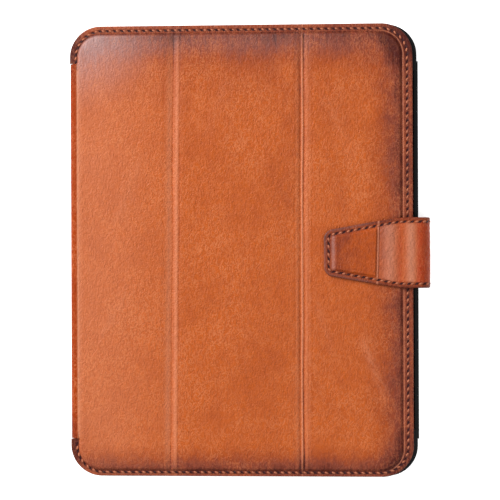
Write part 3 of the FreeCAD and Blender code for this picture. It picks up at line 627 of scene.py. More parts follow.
# %% Edge paint, thread, plastics, cloths and metals
def mottled(name, dark, light, rough, grain=1.5, depth=0.02, stretch=1.0, **shader):
    """A finish with a fine grain and slow changes between two colours: moulded plastic,
    edge paint, plating, board. Stretch draws the grain out along the length."""
    material, tree = new_material(name)
    place = millimetres(tree)
    fine = noise(tree, scaled(tree, place, (1.0, 1.0 / stretch, 1.0)), grain, 6.0, 0.7)
    slow = maths(tree, "MULTIPLY", use_group(tree, tone, place, Scale=0.06)["Fac"], 0.4)
    factor = maths(tree, "MULTIPLY_ADD", fine, 0.6, slow)
    colour = mix_colour(tree, factor, paint(*dark), paint(*light))
    spread = ranged(tree, fine, 0.3, 0.7, max(rough - 0.08, 0.02), rough + 0.08)
    finish_material(tree, colour, spread, fine, depth, **shader)
    return material


def napped(name, dark, light, fibre=3.0, depth=0.12, sheen=0.4):
    """Brushed cloth, suede, foam or felt: short fibres as strongly distorted noise, with
    sheen for the light that their tips catch."""
    material, tree = new_material(name)
    place = millimetres(tree)
    fibres = noise(tree, place, fibre, 7.0, 0.75, 1.6)
    slow = maths(tree, "MULTIPLY", use_group(tree, tone, place, Scale=0.04)["Fac"], 0.3)
    factor = maths(tree, "MULTIPLY_ADD", fibres, 0.7, slow)
    colour = mix_colour(tree, factor, paint(*dark), paint(*light))
    shine = {"Sheen_Weight": sheen, "Sheen_Roughness": 0.5}
    finish_material(tree, colour, 0.92, fibres, depth, **shine)
    return material


edge_paint = mottled("edge_paint", (34, 27, 27), (62, 50, 50), 0.34, grain=1.2, depth=0.03)
waxed_thread = mottled(
    "waxed_thread", (136, 74, 50), (192, 116, 84), 0.62, 3.2, 0.12, Specular_IOR_Level=0.25
)
microfibre = napped("microfibre", (34, 33, 35), (62, 60, 63))
suede = napped("strap_suede", (70, 44, 32), (116, 78, 58), fibre=2.2)
print("materials:", len(bpy.data.materials))

# %% [markdown]
# ## The cover as one landscape
# The front is three padded panels under one skin. Pressing that skin down round the boards
# gives the flat stitched border, the soft shoulder and the two creased folds. All of it is
# one height for every place on the cover, so that neighbouring pieces meet without a step.

# %% Height, wear and seam of the cover
CORNER, BORDER_Z, NOTCH = 17.5, 12.0, 4.0
FLAT_SIDE, FLAT_TOP, FLAT_BOTTOM = 5.8, 4.8, 3.2
STITCH_PITCH = 4.1
CREASES = (
    [(0.6, 0.17, 0.42), (4.5, 0.17, 0.40), (-4.7, 0.07, 0.4), (-3.6, 0.04, 0.45), (1.9, 0.06, 0.5)],
    [(-1.4, 0.15, 0.60), (1.0, 0.30, 0.35), (3.6, 0.10, 0.5), (-4.2, 0.08, 0.5), (5.4, 0.08, 0.6)],
)
HIDE_LINES = (
    (64, -44, 83, -92, 2.6, 1.3),
    (44, 92, 66, 40, 3.0, 0.5),
    (-6, 104, -24, 56, 3.2, 0.4),
    (-74, 10, -56, 58, 3.6, 0.45),
    (-84, -52, -60, -16, 3.0, 0.5),
    (38, -20, 52, -66, 2.2, 0.5),
)
RIDGES = (
    ((2.9, 0.15, 1.2), (-1.5, 0.09, 1.5)),
    ((-0.1, 0.36, 0.40), (3.0, 0.06, 1.5), (-3.0, 0.04, 1.2)),
)
LEANS, LEAN_FROM = (0.0097, 0.0035), 45.0
seam_line = rounded_line(
    [
        (LEFT + 2.8, SPINE_HALF + 1.2),
        (LEFT + 2.8, HALF - 2.8),
        (RIGHT - 2.8, HALF - 2.8),
        (RIGHT - 2.8, 2.2 - HALF),
        (LEFT + 2.8, 2.2 - HALF),
        (LEFT + 2.8, -SPINE_HALF - 1.2),
    ],
    [14.9] * 4,
)


def raised_inset(x, y):
    """Distance inside the padded area. Along the spine the area has no shoulder, because
    there the skin runs on over the bend."""
    low = np.array((LEFT + 3.7, FLAT_BOTTOM - HALF))
    high = np.array((RIGHT - FLAT_SIDE, HALF - FLAT_TOP))
    closed = inset(x, y, low, high, CORNER - FLAT_TOP)
    opened = inset(x, y, low - np.array((12, 0)), high, CORNER - FLAT_TOP)
    along_spine = smooth((SPINE_HALF + 0.6 - np.abs(y)) / 3.0)
    return closed + (opened - closed) * along_spine


def fold_marks(x, y, number):
    """Place across one fold, depth of its pressed lines and height of its ridges. Lines and
    ridges are bells across the fold, which leans a little; they wander along it."""
    middle = FOLDS[number]
    f = x - middle - 0.2 * drift(x * 0, y, 1, 34, int(50 + middle)) - LEANS[number] * (y - LEAN_FROM)
    lines = np.zeros_like(x)
    for place, depth, width in CREASES[number]:
        bend = 0.25 * drift(x * 0, y, 1, 23, int(90 + middle + 10 * place))
        strength = 0.8 + 0.5 * drift(x * 0, y, 1, 41, int(190 + middle + 10 * place))
        lines += depth * strength * hump((f - place - bend) / width)
    ridge = sum(tall * hump((f - off) / wide) for off, tall, wide in RIDGES[number])
    return f, lines, ridge


def neck_creases(x, y):
    """Natural wrinkles of the hide: soft bands along a few straight lines, fading at their
    ends, each broken into short strokes that cross it."""
    total = np.zeros_like(x)
    for ax, ay, bx, by, width, strength in HIDE_LINES:
        length = math.hypot(bx - ax, by - ay)
        ux, uy = (bx - ax) / length, (by - ay) / length
        along = ((x - ax) * ux + (y - ay) * uy) / length
        off = (x - ax) * uy - (y - ay) * ux
        fade = smooth(along / 0.3) * smooth((1 - along) / 0.3)
        strokes_in = 0.5 + 0.5 * drift(off + along * length * 0.4, along * length, 0.9, 3.6, 71)
        total += strength * fade * hump(off / width) * strokes_in
    return total


def cover_height(x, y, seam):
    """Border level, plus the step up to the padded area, plus a slight crown; less a groove
    under the stitches, a channel at each fold and the fine creases in it."""
    deep_in = raised_inset(x, y)
    step = smooth((deep_in + 0.25) / 1.7)
    z = BORDER_Z + (TOP - BORDER_Z - 0.16) * step + 0.14 * smooth(deep_in / 16)
    z += 0.16 * hump((deep_in + 0.85) / 0.32) - 0.14 * hump((deep_in + 0.2) / 0.4)
    z -= 0.16 * hump(seam[..., 1] / 0.6)
    z += step * 0.035 * drift(x + 0.6 * y, y - 0.3 * x, 7, 19, 3)
    z += step * (0.020 * drift(x, y, 2.4, 6.5, 5) + 0.06 * neck_creases(x, y))
    for number in (0, 1):
        f, lines, ridge = fold_marks(x, y, number)
        z += step * (ridge - lines - 0.62 * hump(f / 2.7))
    rim = inset(x, y, np.array((EDGE_LEFT, -HALF)), np.array((EDGE_RIGHT, HALF)), CORNER)
    return z - 0.5 * (1 - np.sqrt(1 - (1 - np.clip(rim / 0.7, 0, 1)) ** 2))


def cover_wear_and_painted_light(x, y):
    """Burnish rises towards the top, right and bottom borders, and painted shade lies in the
    fold creases and the groove at the shoulder's foot; the first panel is paler, painted
    highlights lie on the wrinkles, the fold ridges, the bead and the edge beside the spine,
    and a painted sheen lies in its upper corner and in a band along the top."""
    sides = (
        (HALF - y, 27.0, 0.80),
        (HALF - y, 60.0, 0.32),
        (RIGHT - x, 30.0, 0.86),
        (y + HALF, 20.0, 0.80),
    )
    keep = np.ones_like(x)
    for distance, width, strength in sides:
        keep = keep * (1 - strength * (1 - smooth(distance / width)))
    corner = (1 - smooth((x - LEFT) / 26)) * (1 - smooth((HALF - np.abs(y)) / 40))
    burnish_and_shade = 1 - keep * (1 - 0.35 * corner)
    rim = inset(x, y, np.array((EDGE_LEFT, -HALF)), np.array((EDGE_RIGHT, HALF)), CORNER)
    burnish_and_shade = np.maximum(burnish_and_shade, 0.45 * (1 - smooth((rim - 0.3) / 1.0)))
    raised = raised_inset(x, y)
    ends = smooth((x - 70) / 20) * smooth((np.abs(y) - 102) / 20)
    flange = 0.58 + 0.10 * smooth(x / 90) + 0.4 * (1 - smooth((x - LEFT) / 10)) + 0.25 * ends
    burnish_and_shade = burnish_and_shade + 0.25 * ends
    burnish_and_shade = flange + (burnish_and_shade - flange) * smooth((raised + 0.9) / 0.9)
    # Painted shade in the groove at the foot of the shoulder.
    burnish_and_shade = np.maximum(burnish_and_shade, 0.85 * hump((raised + 0.25) / 0.45))
    patches = 0.20 * drift(x, y, 8, 26, 31) + 0.14 * drift(x + 0.5 * y, y, 3.5, 9, 33)
    burnish_and_shade = burnish_and_shade + patches * (0.25 + 0.30 * smooth(x / 30)) * smooth(raised / 6) * (1 - burnish_and_shade)
    first = 1 - smooth((x - LEFT - 8) / 62)
    pale = (0.03 + 0.34 * first) * (1 - burnish_and_shade) ** 1.5
    # Painted highlights on the hide's wrinkles.
    pale = pale + 0.42 * neck_creases(x, y) * (1 - burnish_and_shade)
    # Painted highlights across each fold and on its ridges, and painted shade in its pressed lines.
    for number in (0, 1):
        f, lines, ridge = fold_marks(x, y, number)
        pale = pale + (0.14 * hump(f / 4.5) + 3.4 * ridge - 1.5 * lines) * (1 - burnish_and_shade)
        burnish_and_shade = burnish_and_shade + 1.5 * lines * smooth((raised + 0.4) / 0.8)
    # Painted highlight along the panel's edge beside the spine.
    beside = np.maximum(x - EDGE_LEFT - NOTCH, 0)
    on_spine = smooth((SPINE_HALF + 0.5 - np.abs(y)) / 1.0)
    pale = pale + on_spine * (0.9 * (1 - smooth(beside / 1.3)) + 0.3 * (1 - smooth(beside / 4)))
    # Painted highlight on the bead along the right shoulder.
    bead = hump((raised + 0.85) / 0.28) * smooth((x - 70) / 10)
    pale = pale + 0.60 * bead
    # Painted sheen: a whitish reflection in the first panel's upper corner and a band along the top.
    painted_sheen = smooth(1.05 - np.hypot((x - LEFT) / 58, (HALF - y) / 50)) * 0.85
    painted_sheen = painted_sheen + 0.14 * hump((HALF - 9 - y) / 7) * (1 - smooth((x - 10) / 90))
    painted_sheen = painted_sheen * smooth((raised + 0.5) / 2)
    return np.stack([np.clip(a, 0, 1) for a in (burnish_and_shade, pale, painted_sheen)], axis=-1)


# %% Rows and columns of the cover's grids
arc = np.sin(np.linspace(0, math.pi / 2, 54)) * CORNER + HALF - CORNER
rows_up = np.concatenate((stops(SPINE_HALF + 0.3, (HALF - CORNER, 0.6))[:-1], arc))
rows_mid = stops(-SPINE_HALF, (SPINE_HALF, 0.8))
cover_rows = np.concatenate((-rows_up[::-1], rows_mid, rows_up))
beyond = np.maximum(np.abs(cover_rows) - (HALF - CORNER), 0)
corner_shift = CORNER - np.sqrt(np.maximum(CORNER ** 2 - beyond ** 2, 0))


def columns_from_edge(edge, inner, notch=0.0):
    """Columns from the outer edge inwards: close together over the border and the shoulder,
    then even. Each row starts where the rounded corner puts it, or at the notch."""
    sign = math.copysign(1, inner - edge)
    shift = sign * corner_shift[:, None]
    in_notch = (np.abs(cover_rows) <= SPINE_HALF)[:, None] & (notch > 0)
    start = np.where(in_notch, edge + sign * notch, edge + shift)
    border = edge + shift + sign * 4.7
    shoulder = border + sign * 4.5
    near = stops(0.0, (0.1, 0.05), (1.0, 0.06))
    parts = (
        start + (border - start) * near,
        border + (shoulder - border) * np.linspace(0, 1, 16)[1:],
        shoulder + (inner - shoulder) * np.linspace(0, 1, int(abs(inner - edge) / 0.55))[1:],
    )
    x = np.concatenate(parts, axis=1)
    return x if sign > 0 else x[:, ::-1]


def cover_piece(name, x, bottom=None):
    """A piece of the cover whose top follows the landscape."""
    y = np.broadcast_to(cover_rows[:, None], x.shape)
    seam = follow(seam_line, x, y, STITCH_PITCH)
    z = cover_height(x, y, seam)
    top = np.stack((x, y, z), axis=-1)
    if bottom is None:
        low = np.float64(UNDER)
    else:
        low = np.stack((x, y, np.full_like(z, bottom)), axis=-1)
    materials = (cover_leather, edge_paint, microfibre)
    piece = shell(name, top, low, materials, seam, cover_wear_and_painted_light(x, y))
    check_outward(piece)
    return piece


# %% The three panels and the two folds
middle_columns = np.linspace(FOLDS[0] + FOLD_HALF, FOLDS[1] - FOLD_HALF, 140)
panel_x = {
    1: columns_from_edge(EDGE_LEFT, FOLDS[0] - FOLD_HALF, NOTCH),
    2: np.broadcast_to(middle_columns, (len(cover_rows), len(middle_columns))),
    3: columns_from_edge(EDGE_RIGHT, FOLDS[1] + FOLD_HALF),
}
for number, x in panel_x.items():
    panel = cover_piece(f"panel_{number}_cover", x)
    stand_for(panel, [f"panel_{number}_leather"], [f"panel_{number}"])
for number, middle in enumerate(FOLDS, start=1):
    low, high = middle - FOLD_HALF, middle + FOLD_HALF
    x = np.broadcast_to(np.linspace(low, high, 30), (len(cover_rows), 30))
    fold = cover_piece(f"fold_{number}_crease", x, bottom=UNDER + 0.3)
    bodies, ends = (f"panel_{number}", f"panel_{number + 1}"), ((low, 0, TOP), (high, 0, TOP))
    stand_for(fold, [f"fold_{number}_strip"], bodies)

# %% [markdown]
# ## Saddle stitching
# Two needles pass the thread through slanted holes, so each stitch shows as a short grain
# that leans across the seam. Every stitch over a panel rides on that panel; the few over a
# fold stay where they are made.

# %% Stitches of the cover
COVER_STITCH = (2.35, 0.54, -0.42)
FAR = 999.0
spots, ways = stitch_frames(seam_line, STITCH_PITCH)
level = cover_height(spots[:, 0], spots[:, 1], np.zeros((len(spots), 3)))
frames = (
    np.column_stack((spots, level + 0.05)),
    np.column_stack((ways, np.zeros(len(ways)))),
    np.tile((0.0, 0.0, 1.0), (len(spots), 1)),
)
limits = [-FAR, *(fold + side for fold in FOLDS for side in (-FOLD_HALF, FOLD_HALF)), FAR]
holders = {
    "panel_1": ("panel_1",),
    "fold_1": ("panel_1", "panel_2"),
    "panel_2": ("panel_2",),
    "fold_2": ("panel_2", "panel_3"),
    "panel_3": ("panel_3",),
}
for (part, bodies), low, high in zip(holders.items(), limits, limits[1:]):
    mine = (spots[:, 0] > low) & (spots[:, 0] <= high)
    ends = ((low, 0, TOP), (high, 0, TOP))
    sew(f"{part}_stitches", frames, mine, COVER_STITCH, bodies)

# %% [markdown]
# ## Spine
# The skin of the first panel runs on over the edge, down the spine and under the back. It is
# one strip in three pieces: the upright part and a bend on each side. Each piece is a curve
# in the plane of its section, carried along the spine.


# %% Spine strip
def section_piece(name, outer, inner, rows, materials, wear_and_painted_light=None):
    """A strip from two matching curves (x, z), carried along the rows in y."""
    def carry(curve):
        x = np.broadcast_to(curve[:, 0], (len(rows), len(curve)))
        z = np.broadcast_to(curve[:, 1], x.shape)
        return np.stack((x, np.broadcast_to(rows[:, None], x.shape), z), axis=-1)

    top, bottom = carry(outer), carry(inner)
    seam = np.tile(NO_SEAM, (*top.shape[:2], 1))
    piece = shell(name, top, bottom, materials, seam, wear_and_painted_light(top) if wear_and_painted_light else None)
    check_outward(piece)
    return piece


def arc_curve(centre, radius, sweep, count):
    """Part of a circle in the section plane, angles in degrees from +x towards +z."""
    angle = np.radians(np.linspace(*sweep, count))
    return np.stack((centre[0] + radius * np.cos(angle), centre[1] + radius * np.sin(angle)), 1)


def spine_wear_and_painted_light(points):
    """Deep colour down the spine, a little more burnished at the ends and darker towards the
    back, with a painted highlight where it meets the panel.
    """
    x, y, z = points[..., 0], points[..., 1], points[..., 2]
    burnish_and_shade = 0.10 + 0.40 * (1 - smooth((SPINE_HALF - np.abs(y)) / 22))
    burnish_and_shade = burnish_and_shade + 0.40 * (1 - smooth((x - EDGE_LEFT) / 1.0)) + 0.2 * (1 - smooth(z / 6))
    # Painted highlight at the top of the front bend, with no burnish there.
    top_edge_highlight = smooth((x - EDGE_LEFT - FRONT_R + 0.6) / 0.6)
    return np.stack((np.clip(burnish_and_shade, 0, 1) * (1 - top_edge_highlight), 0.9 * top_edge_highlight, np.zeros_like(x)), axis=-1)


SKIN, FRONT_R, BACK_R = 1.0 + FULLER, 4.0, 3.0
spine_rows = stops(-SPINE_HALF, (SPINE_HALF, 1.2))
spine_skin = (spine_leather, edge_paint, microfibre)
for name, node, bodies, radius, centre_z, sweep, count in (
    ("front", "spine_bend_front", ("spine", "panel_1"), FRONT_R, TOP - FRONT_R, (180, 90), 20),
    ("back", "spine_bend_back", ("reader_and_back", "spine"), BACK_R, BACK_R, (270, 180), 16),
):
    centre = (EDGE_LEFT + radius, centre_z)
    curves = [arc_curve(centre, r, sweep, count) for r in (radius, radius - SKIN)]
    piece = section_piece(f"spine_{name}_bend", *curves, spine_rows, spine_skin, spine_wear_and_painted_light)
    ends = [(x, 0, z) for x, z in arc_curve(centre, radius, sweep, 2)]
    stand_for(piece, [node], bodies)
heights = np.linspace(BACK_R, TOP - FRONT_R, 14)
swell = 0.12 * np.sin(np.pi * (heights - heights[0]) / np.ptp(heights))
curves = [np.stack((x + 0 * heights, heights), 1) for x in (EDGE_LEFT - swell, EDGE_LEFT + SKIN)]
upright = section_piece("spine_skin", *curves, spine_rows, spine_skin, spine_wear_and_painted_light)
stand_for(upright, ["spine_leather"], ["spine"])

# %% [markdown]
# ## Strap
# The strap is one strip of leather that starts under the tray, turns up past the edge and
# comes back over the cover to a tab. Its middle line is straight runs and quarter circles;
# a point is placed by how far along that line it is, how far across, and how far out. The
# edge is rounded by letting the thickness fall to nothing over the last millimetre, and the
# stiff insert, the pressed crease and the two soft waves are added to the outer face.

# %% Middle line of the strap
root_low, root_high = box_mm("strap_root")
side_low, side_high = box_mm("strap_side_leather")
tab_low, tab_high = box_mm("strap_tab_lining")
STRAP_Y, STRAP_HALF = (tab_low[1] + tab_high[1]) / 2 + 0.4, (side_high[1] - side_low[1]) / 2
THICK, OUT = 1.6, side_high[0]
LOW_Z, TAB_Z, TIP = root_low[2] + THICK / 2, tab_low[2] + THICK / 2, tab_low[0] + 0.45
HEEL, BOW = 3.0, 5.2
ROOT_X, MID_X = 95.5, OUT - THICK / 2
upright_run = TAB_Z - BOW - LOW_Z - HEEL
runs = (MID_X - HEEL - ROOT_X, upright_run, MID_X - BOW - TIP)
lengths = np.array((runs[0], HEEL * math.pi / 2, runs[1], BOW * math.pi / 2, runs[2]))
marks = np.concatenate(([0], np.cumsum(lengths)))
print("strap length", round(marks[-1], 1), "mm, marks", np.round(marks, 1))


def strap_frame(s):
    """Place (x, z) and outward direction at each distance s along the middle line."""
    low_turn = np.clip((s - marks[1]) / HEEL, 0, math.pi / 2)
    high_turn = np.clip((s - marks[3]) / BOW, 0, math.pi / 2)
    x = ROOT_X + np.clip(s, 0, marks[1]) + HEEL * np.sin(low_turn)
    x = x - BOW * (1 - np.cos(high_turn)) - np.maximum(s - marks[4], 0)
    z = LOW_Z + HEEL * (1 - np.cos(low_turn)) + np.clip(s - marks[2], 0, lengths[2])
    z = z + BOW * np.sin(high_turn)
    angle = low_turn + high_turn - math.pi / 2
    return x, z, np.cos(angle), np.sin(angle)


SHOULDER_X, TIP_HALF, TIP_R = 86.0, 12.4, 4.5
lean_side = math.atan2(STRAP_HALF - TIP_HALF, SHOULDER_X - TIP)


def half_width(x_on_tab):
    """Straight sides of the tab before its corners are rounded; a soft shoulder."""
    slope = TIP_HALF + (x_on_tab - TIP) * math.tan(lean_side)
    gap = STRAP_HALF - slope
    return STRAP_HALF - (gap + np.sqrt(gap ** 2 + 0.8)) / 2


def tab_inset(x, w):
    """Distance inside the strap's outline in its own flat plan."""
    a, b = x - TIP, (half_width(x) - np.abs(w)) * math.cos(lean_side)
    qa, qb = TIP_R - a, TIP_R - b
    outside = np.hypot(np.maximum(qa, 0), np.maximum(qb, 0))
    return TIP_R - outside - np.minimum(np.maximum(qa, qb), 0)


def plan_x(s):
    """x of the strap laid flat: the same as the real x on the tab."""
    return TIP + marks[-1] - s


def outline_half(s):
    """Half width where the rounded corners of the tip are taken off."""
    a = np.clip(plan_x(s) - TIP, 0, TIP_R)
    off = TIP_R - np.sqrt(np.maximum(TIP_R ** 2 - (TIP_R - a) ** 2, 0))
    return half_width(plan_x(s)) - off / math.cos(lean_side)


CREASE_X, INSERT_X = 75.0, TIP + 4.2
CREASE_LEAN = 0.028
strap_seam = rounded_line(
    [
        (-(plan_x(marks[2]) - TIP), STRAP_HALF - 2.5),
        (-(SHOULDER_X - TIP + 0.6), STRAP_HALF - 2.5),
        (-2.7, TIP_HALF - 2.4),
        (-2.7, 2.4 - TIP_HALF),
        (-(SHOULDER_X - TIP + 0.6), 2.5 - STRAP_HALF),
        (-(plan_x(marks[2]) - TIP), 2.5 - STRAP_HALF),
    ],
    [40, 2.6, 2.6, 40],
)
STRAP_PITCH = 4.27


def strap_relief(x, w, seam):
    """What stands proud of the plain strap: the insert with its bevelled end, the bead at
    the crease and two waves; less the seam's groove and the crease itself."""
    side = half_width(x) - 3.5 - np.abs(w)
    slant = CREASE_LEAN * w
    bevel = smooth((x - INSERT_X) / 2.6) * smooth((CREASE_X - 0.5 + slant - x) / 0.9)
    z = 0.86 * bevel * smooth(side / 1.5)
    z += 0.26 * hump((x - CREASE_X - slant) / 0.42) * smooth((side + 0.6) / 1.0)
    z -= 0.24 * hump((x - CREASE_X - 0.75 - slant) / 0.35) * smooth((side + 0.6) / 1.0)
    flexible = smooth((x - CREASE_X - 1.2) / 2) * smooth((side + 2.8) / 4)
    z += flexible * (0.34 * hump((x - 81.6) / 3.0) + 0.42 * hump((x - 92.0) / 2.6))
    z -= flexible * 0.12 * hump((x - 87.2) / 1.6)
    z -= 0.20 * hump(seam[..., 1] / 0.6)
    z += flexible * (0.10 * drift(x, w, 1.1, 1.5, 23) + 0.09 * drift(x, w, 2.4, 4.6, 24))
    return z + 0.03 * drift(x, w, 2.2, 5.0, 21)


def strap_wear_and_painted_light(x, w):
    """Dark at the rim and over the insert's start, orange towards the crease, painted
    highlights on the tops of the waves and on the crease's bead, painted sheen on the
    insert's bevelled end, near the first wave and round the rim, deep orange where the strap
    turns down."""
    rim = tab_inset(x, w)
    burnish_and_shade = 0.74 * (1 - smooth((rim - 0.6) / 2.6))
    over = smooth((CREASE_X - x) / 26)
    burnish_and_shade = np.maximum(burnish_and_shade, 0.30 + 0.26 * over)
    waves = 0.42 - 0.25 * hump((x - 87.0) / 2.2) - 0.42 * smooth((x - 95.6) / 1.6)
    burnish_and_shade = np.where(x > CREASE_X, np.maximum(0.78 * (1 - smooth((rim - 0.5) / 2.8)), waves), burnish_and_shade)
    burnish_and_shade = np.maximum(burnish_and_shade, 0.6 * smooth((x - 103.0) / 5))
    # Painted highlights on the tops of the two waves and on the bead at the crease.
    pale = 0.55 * hump((x - 82.0) / 3.8) + 0.80 * hump((x - 93.2) / 2.8)
    pale = pale * smooth((rim - 1.5) / 3) + 0.8 * hump((x - CREASE_X + 0.1 - CREASE_LEAN * w) / 0.45)
    # Painted sheen on the insert's bevelled end, near the first wave and round the rim before the
    # crease.
    painted_sheen = 0.6 * hump((x - INSERT_X - 1.0) / 1.1) * smooth((rim - 3.2) / 1.2)
    painted_sheen = painted_sheen + 0.25 * hump((x - 80.0) / 4) * smooth((rim - 2) / 2)
    painted_sheen = painted_sheen + 0.25 * hump(rim / 1.6) * smooth((CREASE_X - x) / 8)
    return np.stack([np.clip(a, 0, 1) for a in (burnish_and_shade, pale, painted_sheen)], axis=-1)


TAB_STOPS = stops(marks[4], (marks[5] - 1.0, 0.36), (marks[5], 0.08))


def strap_piece(name, s_values):
    """Part of the strap between two places along its middle line; its rows lie closer
    together towards both sides."""
    even = np.linspace(-1, 1, 110)
    share = 0.35 * np.sin(even * math.pi / 2) + 0.65 * even
    s = np.broadcast_to(s_values, (len(even), len(s_values)))
    w = -share[:, None] * outline_half(s)
    x_flat = plan_x(s)
    seam = follow(strap_seam, -(x_flat - TIP), w, STRAP_PITCH)
    rim = np.clip(tab_inset(x_flat, w) / (THICK / 2), 0, 1)
    swell = THICK / 2 * np.sqrt(np.maximum(1 - (1 - rim) ** 2, 0))
    x, z, nx, nz = strap_frame(s)
    outer = swell + strap_relief(x_flat, w, seam) * smooth(rim)

    def place(off):
        return np.stack((x + nx * off, STRAP_Y + w, z + nz * off), axis=-1)

    materials = (strap_skin, edge_paint, suede)
    piece = shell(name, place(outer), place(-swell), materials, seam, strap_wear_and_painted_light(x_flat, w))
    check_outward(piece)
    return piece


# %% The strap's five pieces
def strap_point(mark):
    """Place on the middle line, at one of the marks between its runs and bends."""
    x, z = strap_frame(np.float64(marks[mark]))[:2]
    return x, STRAP_Y, z


lower, upper = ("reader_and_back", "strap_side"), ("strap_side", "strap_tab")
for mark, name, bodies, nodes, s in (
    (0, "root_skin", lower[:1], ("root",), stops(marks[0], (marks[1], 0.6))),
    (1, "heel_bend", lower, ("bend_lower",), stops(marks[1], (marks[2], 0.3))),
    (2, "side_skin", lower[1:], ("side_leather", "side_lining"), stops(marks[2], (marks[3], 0.5))),
    (3, "bow_bend", upper, ("bend_upper",), stops(marks[3], (marks[4], 0.35))),
    (4, "tab_skin", upper[1:], ("tab_leather", "tab_lining"), TAB_STOPS),
):
    piece = strap_piece(f"strap_{name}", s)
    nodes = [f"strap_{node}" for node in nodes]
    ends = (strap_point(mark), strap_point(mark + 1))
    stand_for(piece, nodes, bodies)

# %% Stitches of the strap
STRAP_STITCH = (2.3, 0.54, 0.38)
spots, ways = stitch_frames(strap_seam, STRAP_PITCH)
flat_x, w = TIP - spots[:, 0], spots[:, 1]
s = marks[-1] + TIP - flat_x
x, z, nx, nz = strap_frame(s)
lift = THICK / 2 + strap_relief(flat_x, w, np.zeros((len(s), 3))) + 0.06
frames = (
    np.stack((x + nx * lift, STRAP_Y + w, z + nz * lift), axis=-1),
    np.stack((-ways[:, 0] * nz, ways[:, 1], ways[:, 0] * nx), axis=-1),
    np.stack((nx, np.zeros_like(nx), nz), axis=-1),
)
ends = (strap_point(3), strap_point(4))
for part, bodies, low, high in (
    ("side", upper[:1], -1, marks[3]),
    ("bow", upper, marks[3], marks[4]),
    ("tab", upper[1:], marks[4], FAR),
):
    mine = (s > low) & (s <= high)
    sew(f"strap_{part}_stitches", frames, mine, STRAP_STITCH, bodies)

# %% [markdown]
# ## Back and linings
# The back is a plain leather sheet, sewn round its border. Inside, black microfibre is glued
# to each panel and to the tray's floor. All of them are thin rounded rectangles, so one
# function makes them: even columns between the two rounded sides, row by row.


# %% Thin rounded sheets
def sheet_grid(low, high, radius, step):
    """Columns and rows over a rectangle with rounded corners."""
    half = (high[1] - low[1]) / 2
    corner_rows = np.sin(np.linspace(0, math.pi / 2, 26)) * radius + half - radius
    inner_rows = stops(radius - half, (half - radius, step))[1:-1]
    rows = np.concatenate((-corner_rows[::-1], inner_rows, corner_rows))
    past = np.maximum(np.abs(rows) - (half - radius), 0)
    shift = radius - np.sqrt(np.maximum(radius ** 2 - past ** 2, 0))
    left, right = low[0] + shift, high[0] - shift
    t = np.linspace(0, 1, int((high[0] - low[0]) / step))
    t = 0.75 * t + 0.25 * (1 - np.cos(math.pi * t)) / 2
    x = left[:, None] + (right - left)[:, None] * t
    return x, np.broadcast_to(rows[:, None] + (high[1] + low[1]) / 2, x.shape)


def lay_lining(node, body, glued_to, x, y, faces_up=False):
    """A microfibre sheet over a grid: a line pressed in near its border, a thin rounded rim
    and a soft unevenness on the side that shows."""
    low, high = box_mm(node)
    sides = np.minimum(x - x[:, :1], x[:, -1:] - x)
    rim = np.minimum(np.minimum(sides, y[-1:] - y), y - y[:1])
    shown = 0.14 * hump((rim - 3.0) / 0.8) + 0.15 * (1 - smooth(rim / 0.8))
    shown = shown - 0.03 * drift(x, y, 9, 14, 61) * smooth(rim / 4) + 0.03
    top = high[2] - shown * faces_up
    bottom = low[2] + shown * (not faces_up)
    grids = [np.stack((x, y, z), axis=-1) for z in (top + 0 * x, bottom + 0 * x)]
    piece = shell(f"{node}_sheet", *grids, (microfibre,) * 3)
    check_outward(piece)
    stand_for(piece, [node], [body])


# %% Linings of the panels, the tray and the spine
at_notch = np.flatnonzero(np.abs(np.abs(cover_rows) - SPINE_HALF) < 0.4)
some_rows = np.union1d(np.arange(0, len(cover_rows), 4), at_notch)
some_rows = np.union1d(some_rows, len(cover_rows) - 1)
for number, x in panel_x.items():
    some_columns = np.union1d(np.arange(0, x.shape[1], 4), x.shape[1] - 1)
    thin_x = x[some_rows][:, some_columns]
    if number == 1:
        thin_x = thin_x + FULLER * (thin_x[:, -1:] - thin_x) / np.ptp(thin_x)
    thin_y = np.broadcast_to(cover_rows[some_rows][:, None], thin_x.shape)
    panel = f"panel_{number}"
    lay_lining(f"{panel}_lining", panel, f"{panel}_board", thin_x, thin_y)
grid = sheet_grid(*box_mm("tray_lining"), 15.0, 1.6)
lay_lining("tray_lining", "reader_and_back", "tray_shell", *grid, faces_up=True)

low, high = box_mm("spine_lining")
heights = np.linspace(low[2], high[2], 12)
swell = 0.05 * np.sin(np.pi * (heights - low[2]) / (high[2] - low[2]))
curves = [np.stack((x + 0 * heights, heights), 1) for x in (low[0], high[0] - 0.05 + swell)]
rows = stops(low[1], (high[1], 2.0))
inner_sheet = section_piece("spine_lining_sheet", *curves, rows, (microfibre,) * 3)
stand_for(inner_sheet, ["spine_lining"], ["spine"])

# %% Back leather
BACK_CORNER, BACK_STITCH = 17.0, (3.5, 0.34, 0.16)
low, high = box_mm("back_leather")
print("back leather", low, high)
low[0] -= FULLER
x, y = sheet_grid(low, high, BACK_CORNER, 1.25)
border = inset(x, y, low[:2], high[:2], BACK_CORNER)
(west, south), (east, north) = low[:2] + 3, high[:2] - 3
corners = [(west, south), (east, south), (east, north), (west, north)]
back_seam = rounded_line([(west, south + 17), *corners, (west, north - 17)], [14.0] * 4)
seam = follow(back_seam, x, y, STITCH_PITCH)
rim = np.clip(border / 0.6, 0, 1)
outer = 0.02 + 0.5 * (1 - np.sqrt(1 - (1 - rim) ** 2)) + 0.2 * hump(seam[..., 1] / 0.6)
burnish_and_shade = 0.25 + 0.6 * (1 - smooth(border / 22))
wear_and_painted_light = np.stack((burnish_and_shade, np.full_like(burnish_and_shade, 0.1), 0 * burnish_and_shade), axis=-1)
top = np.stack((x, y, outer), axis=-1)
bottom = np.stack((x, y, np.full_like(x, high[2])), axis=-1)
mirrored = [grid[:, ::-1] for grid in (top, bottom, seam, wear_and_painted_light)]
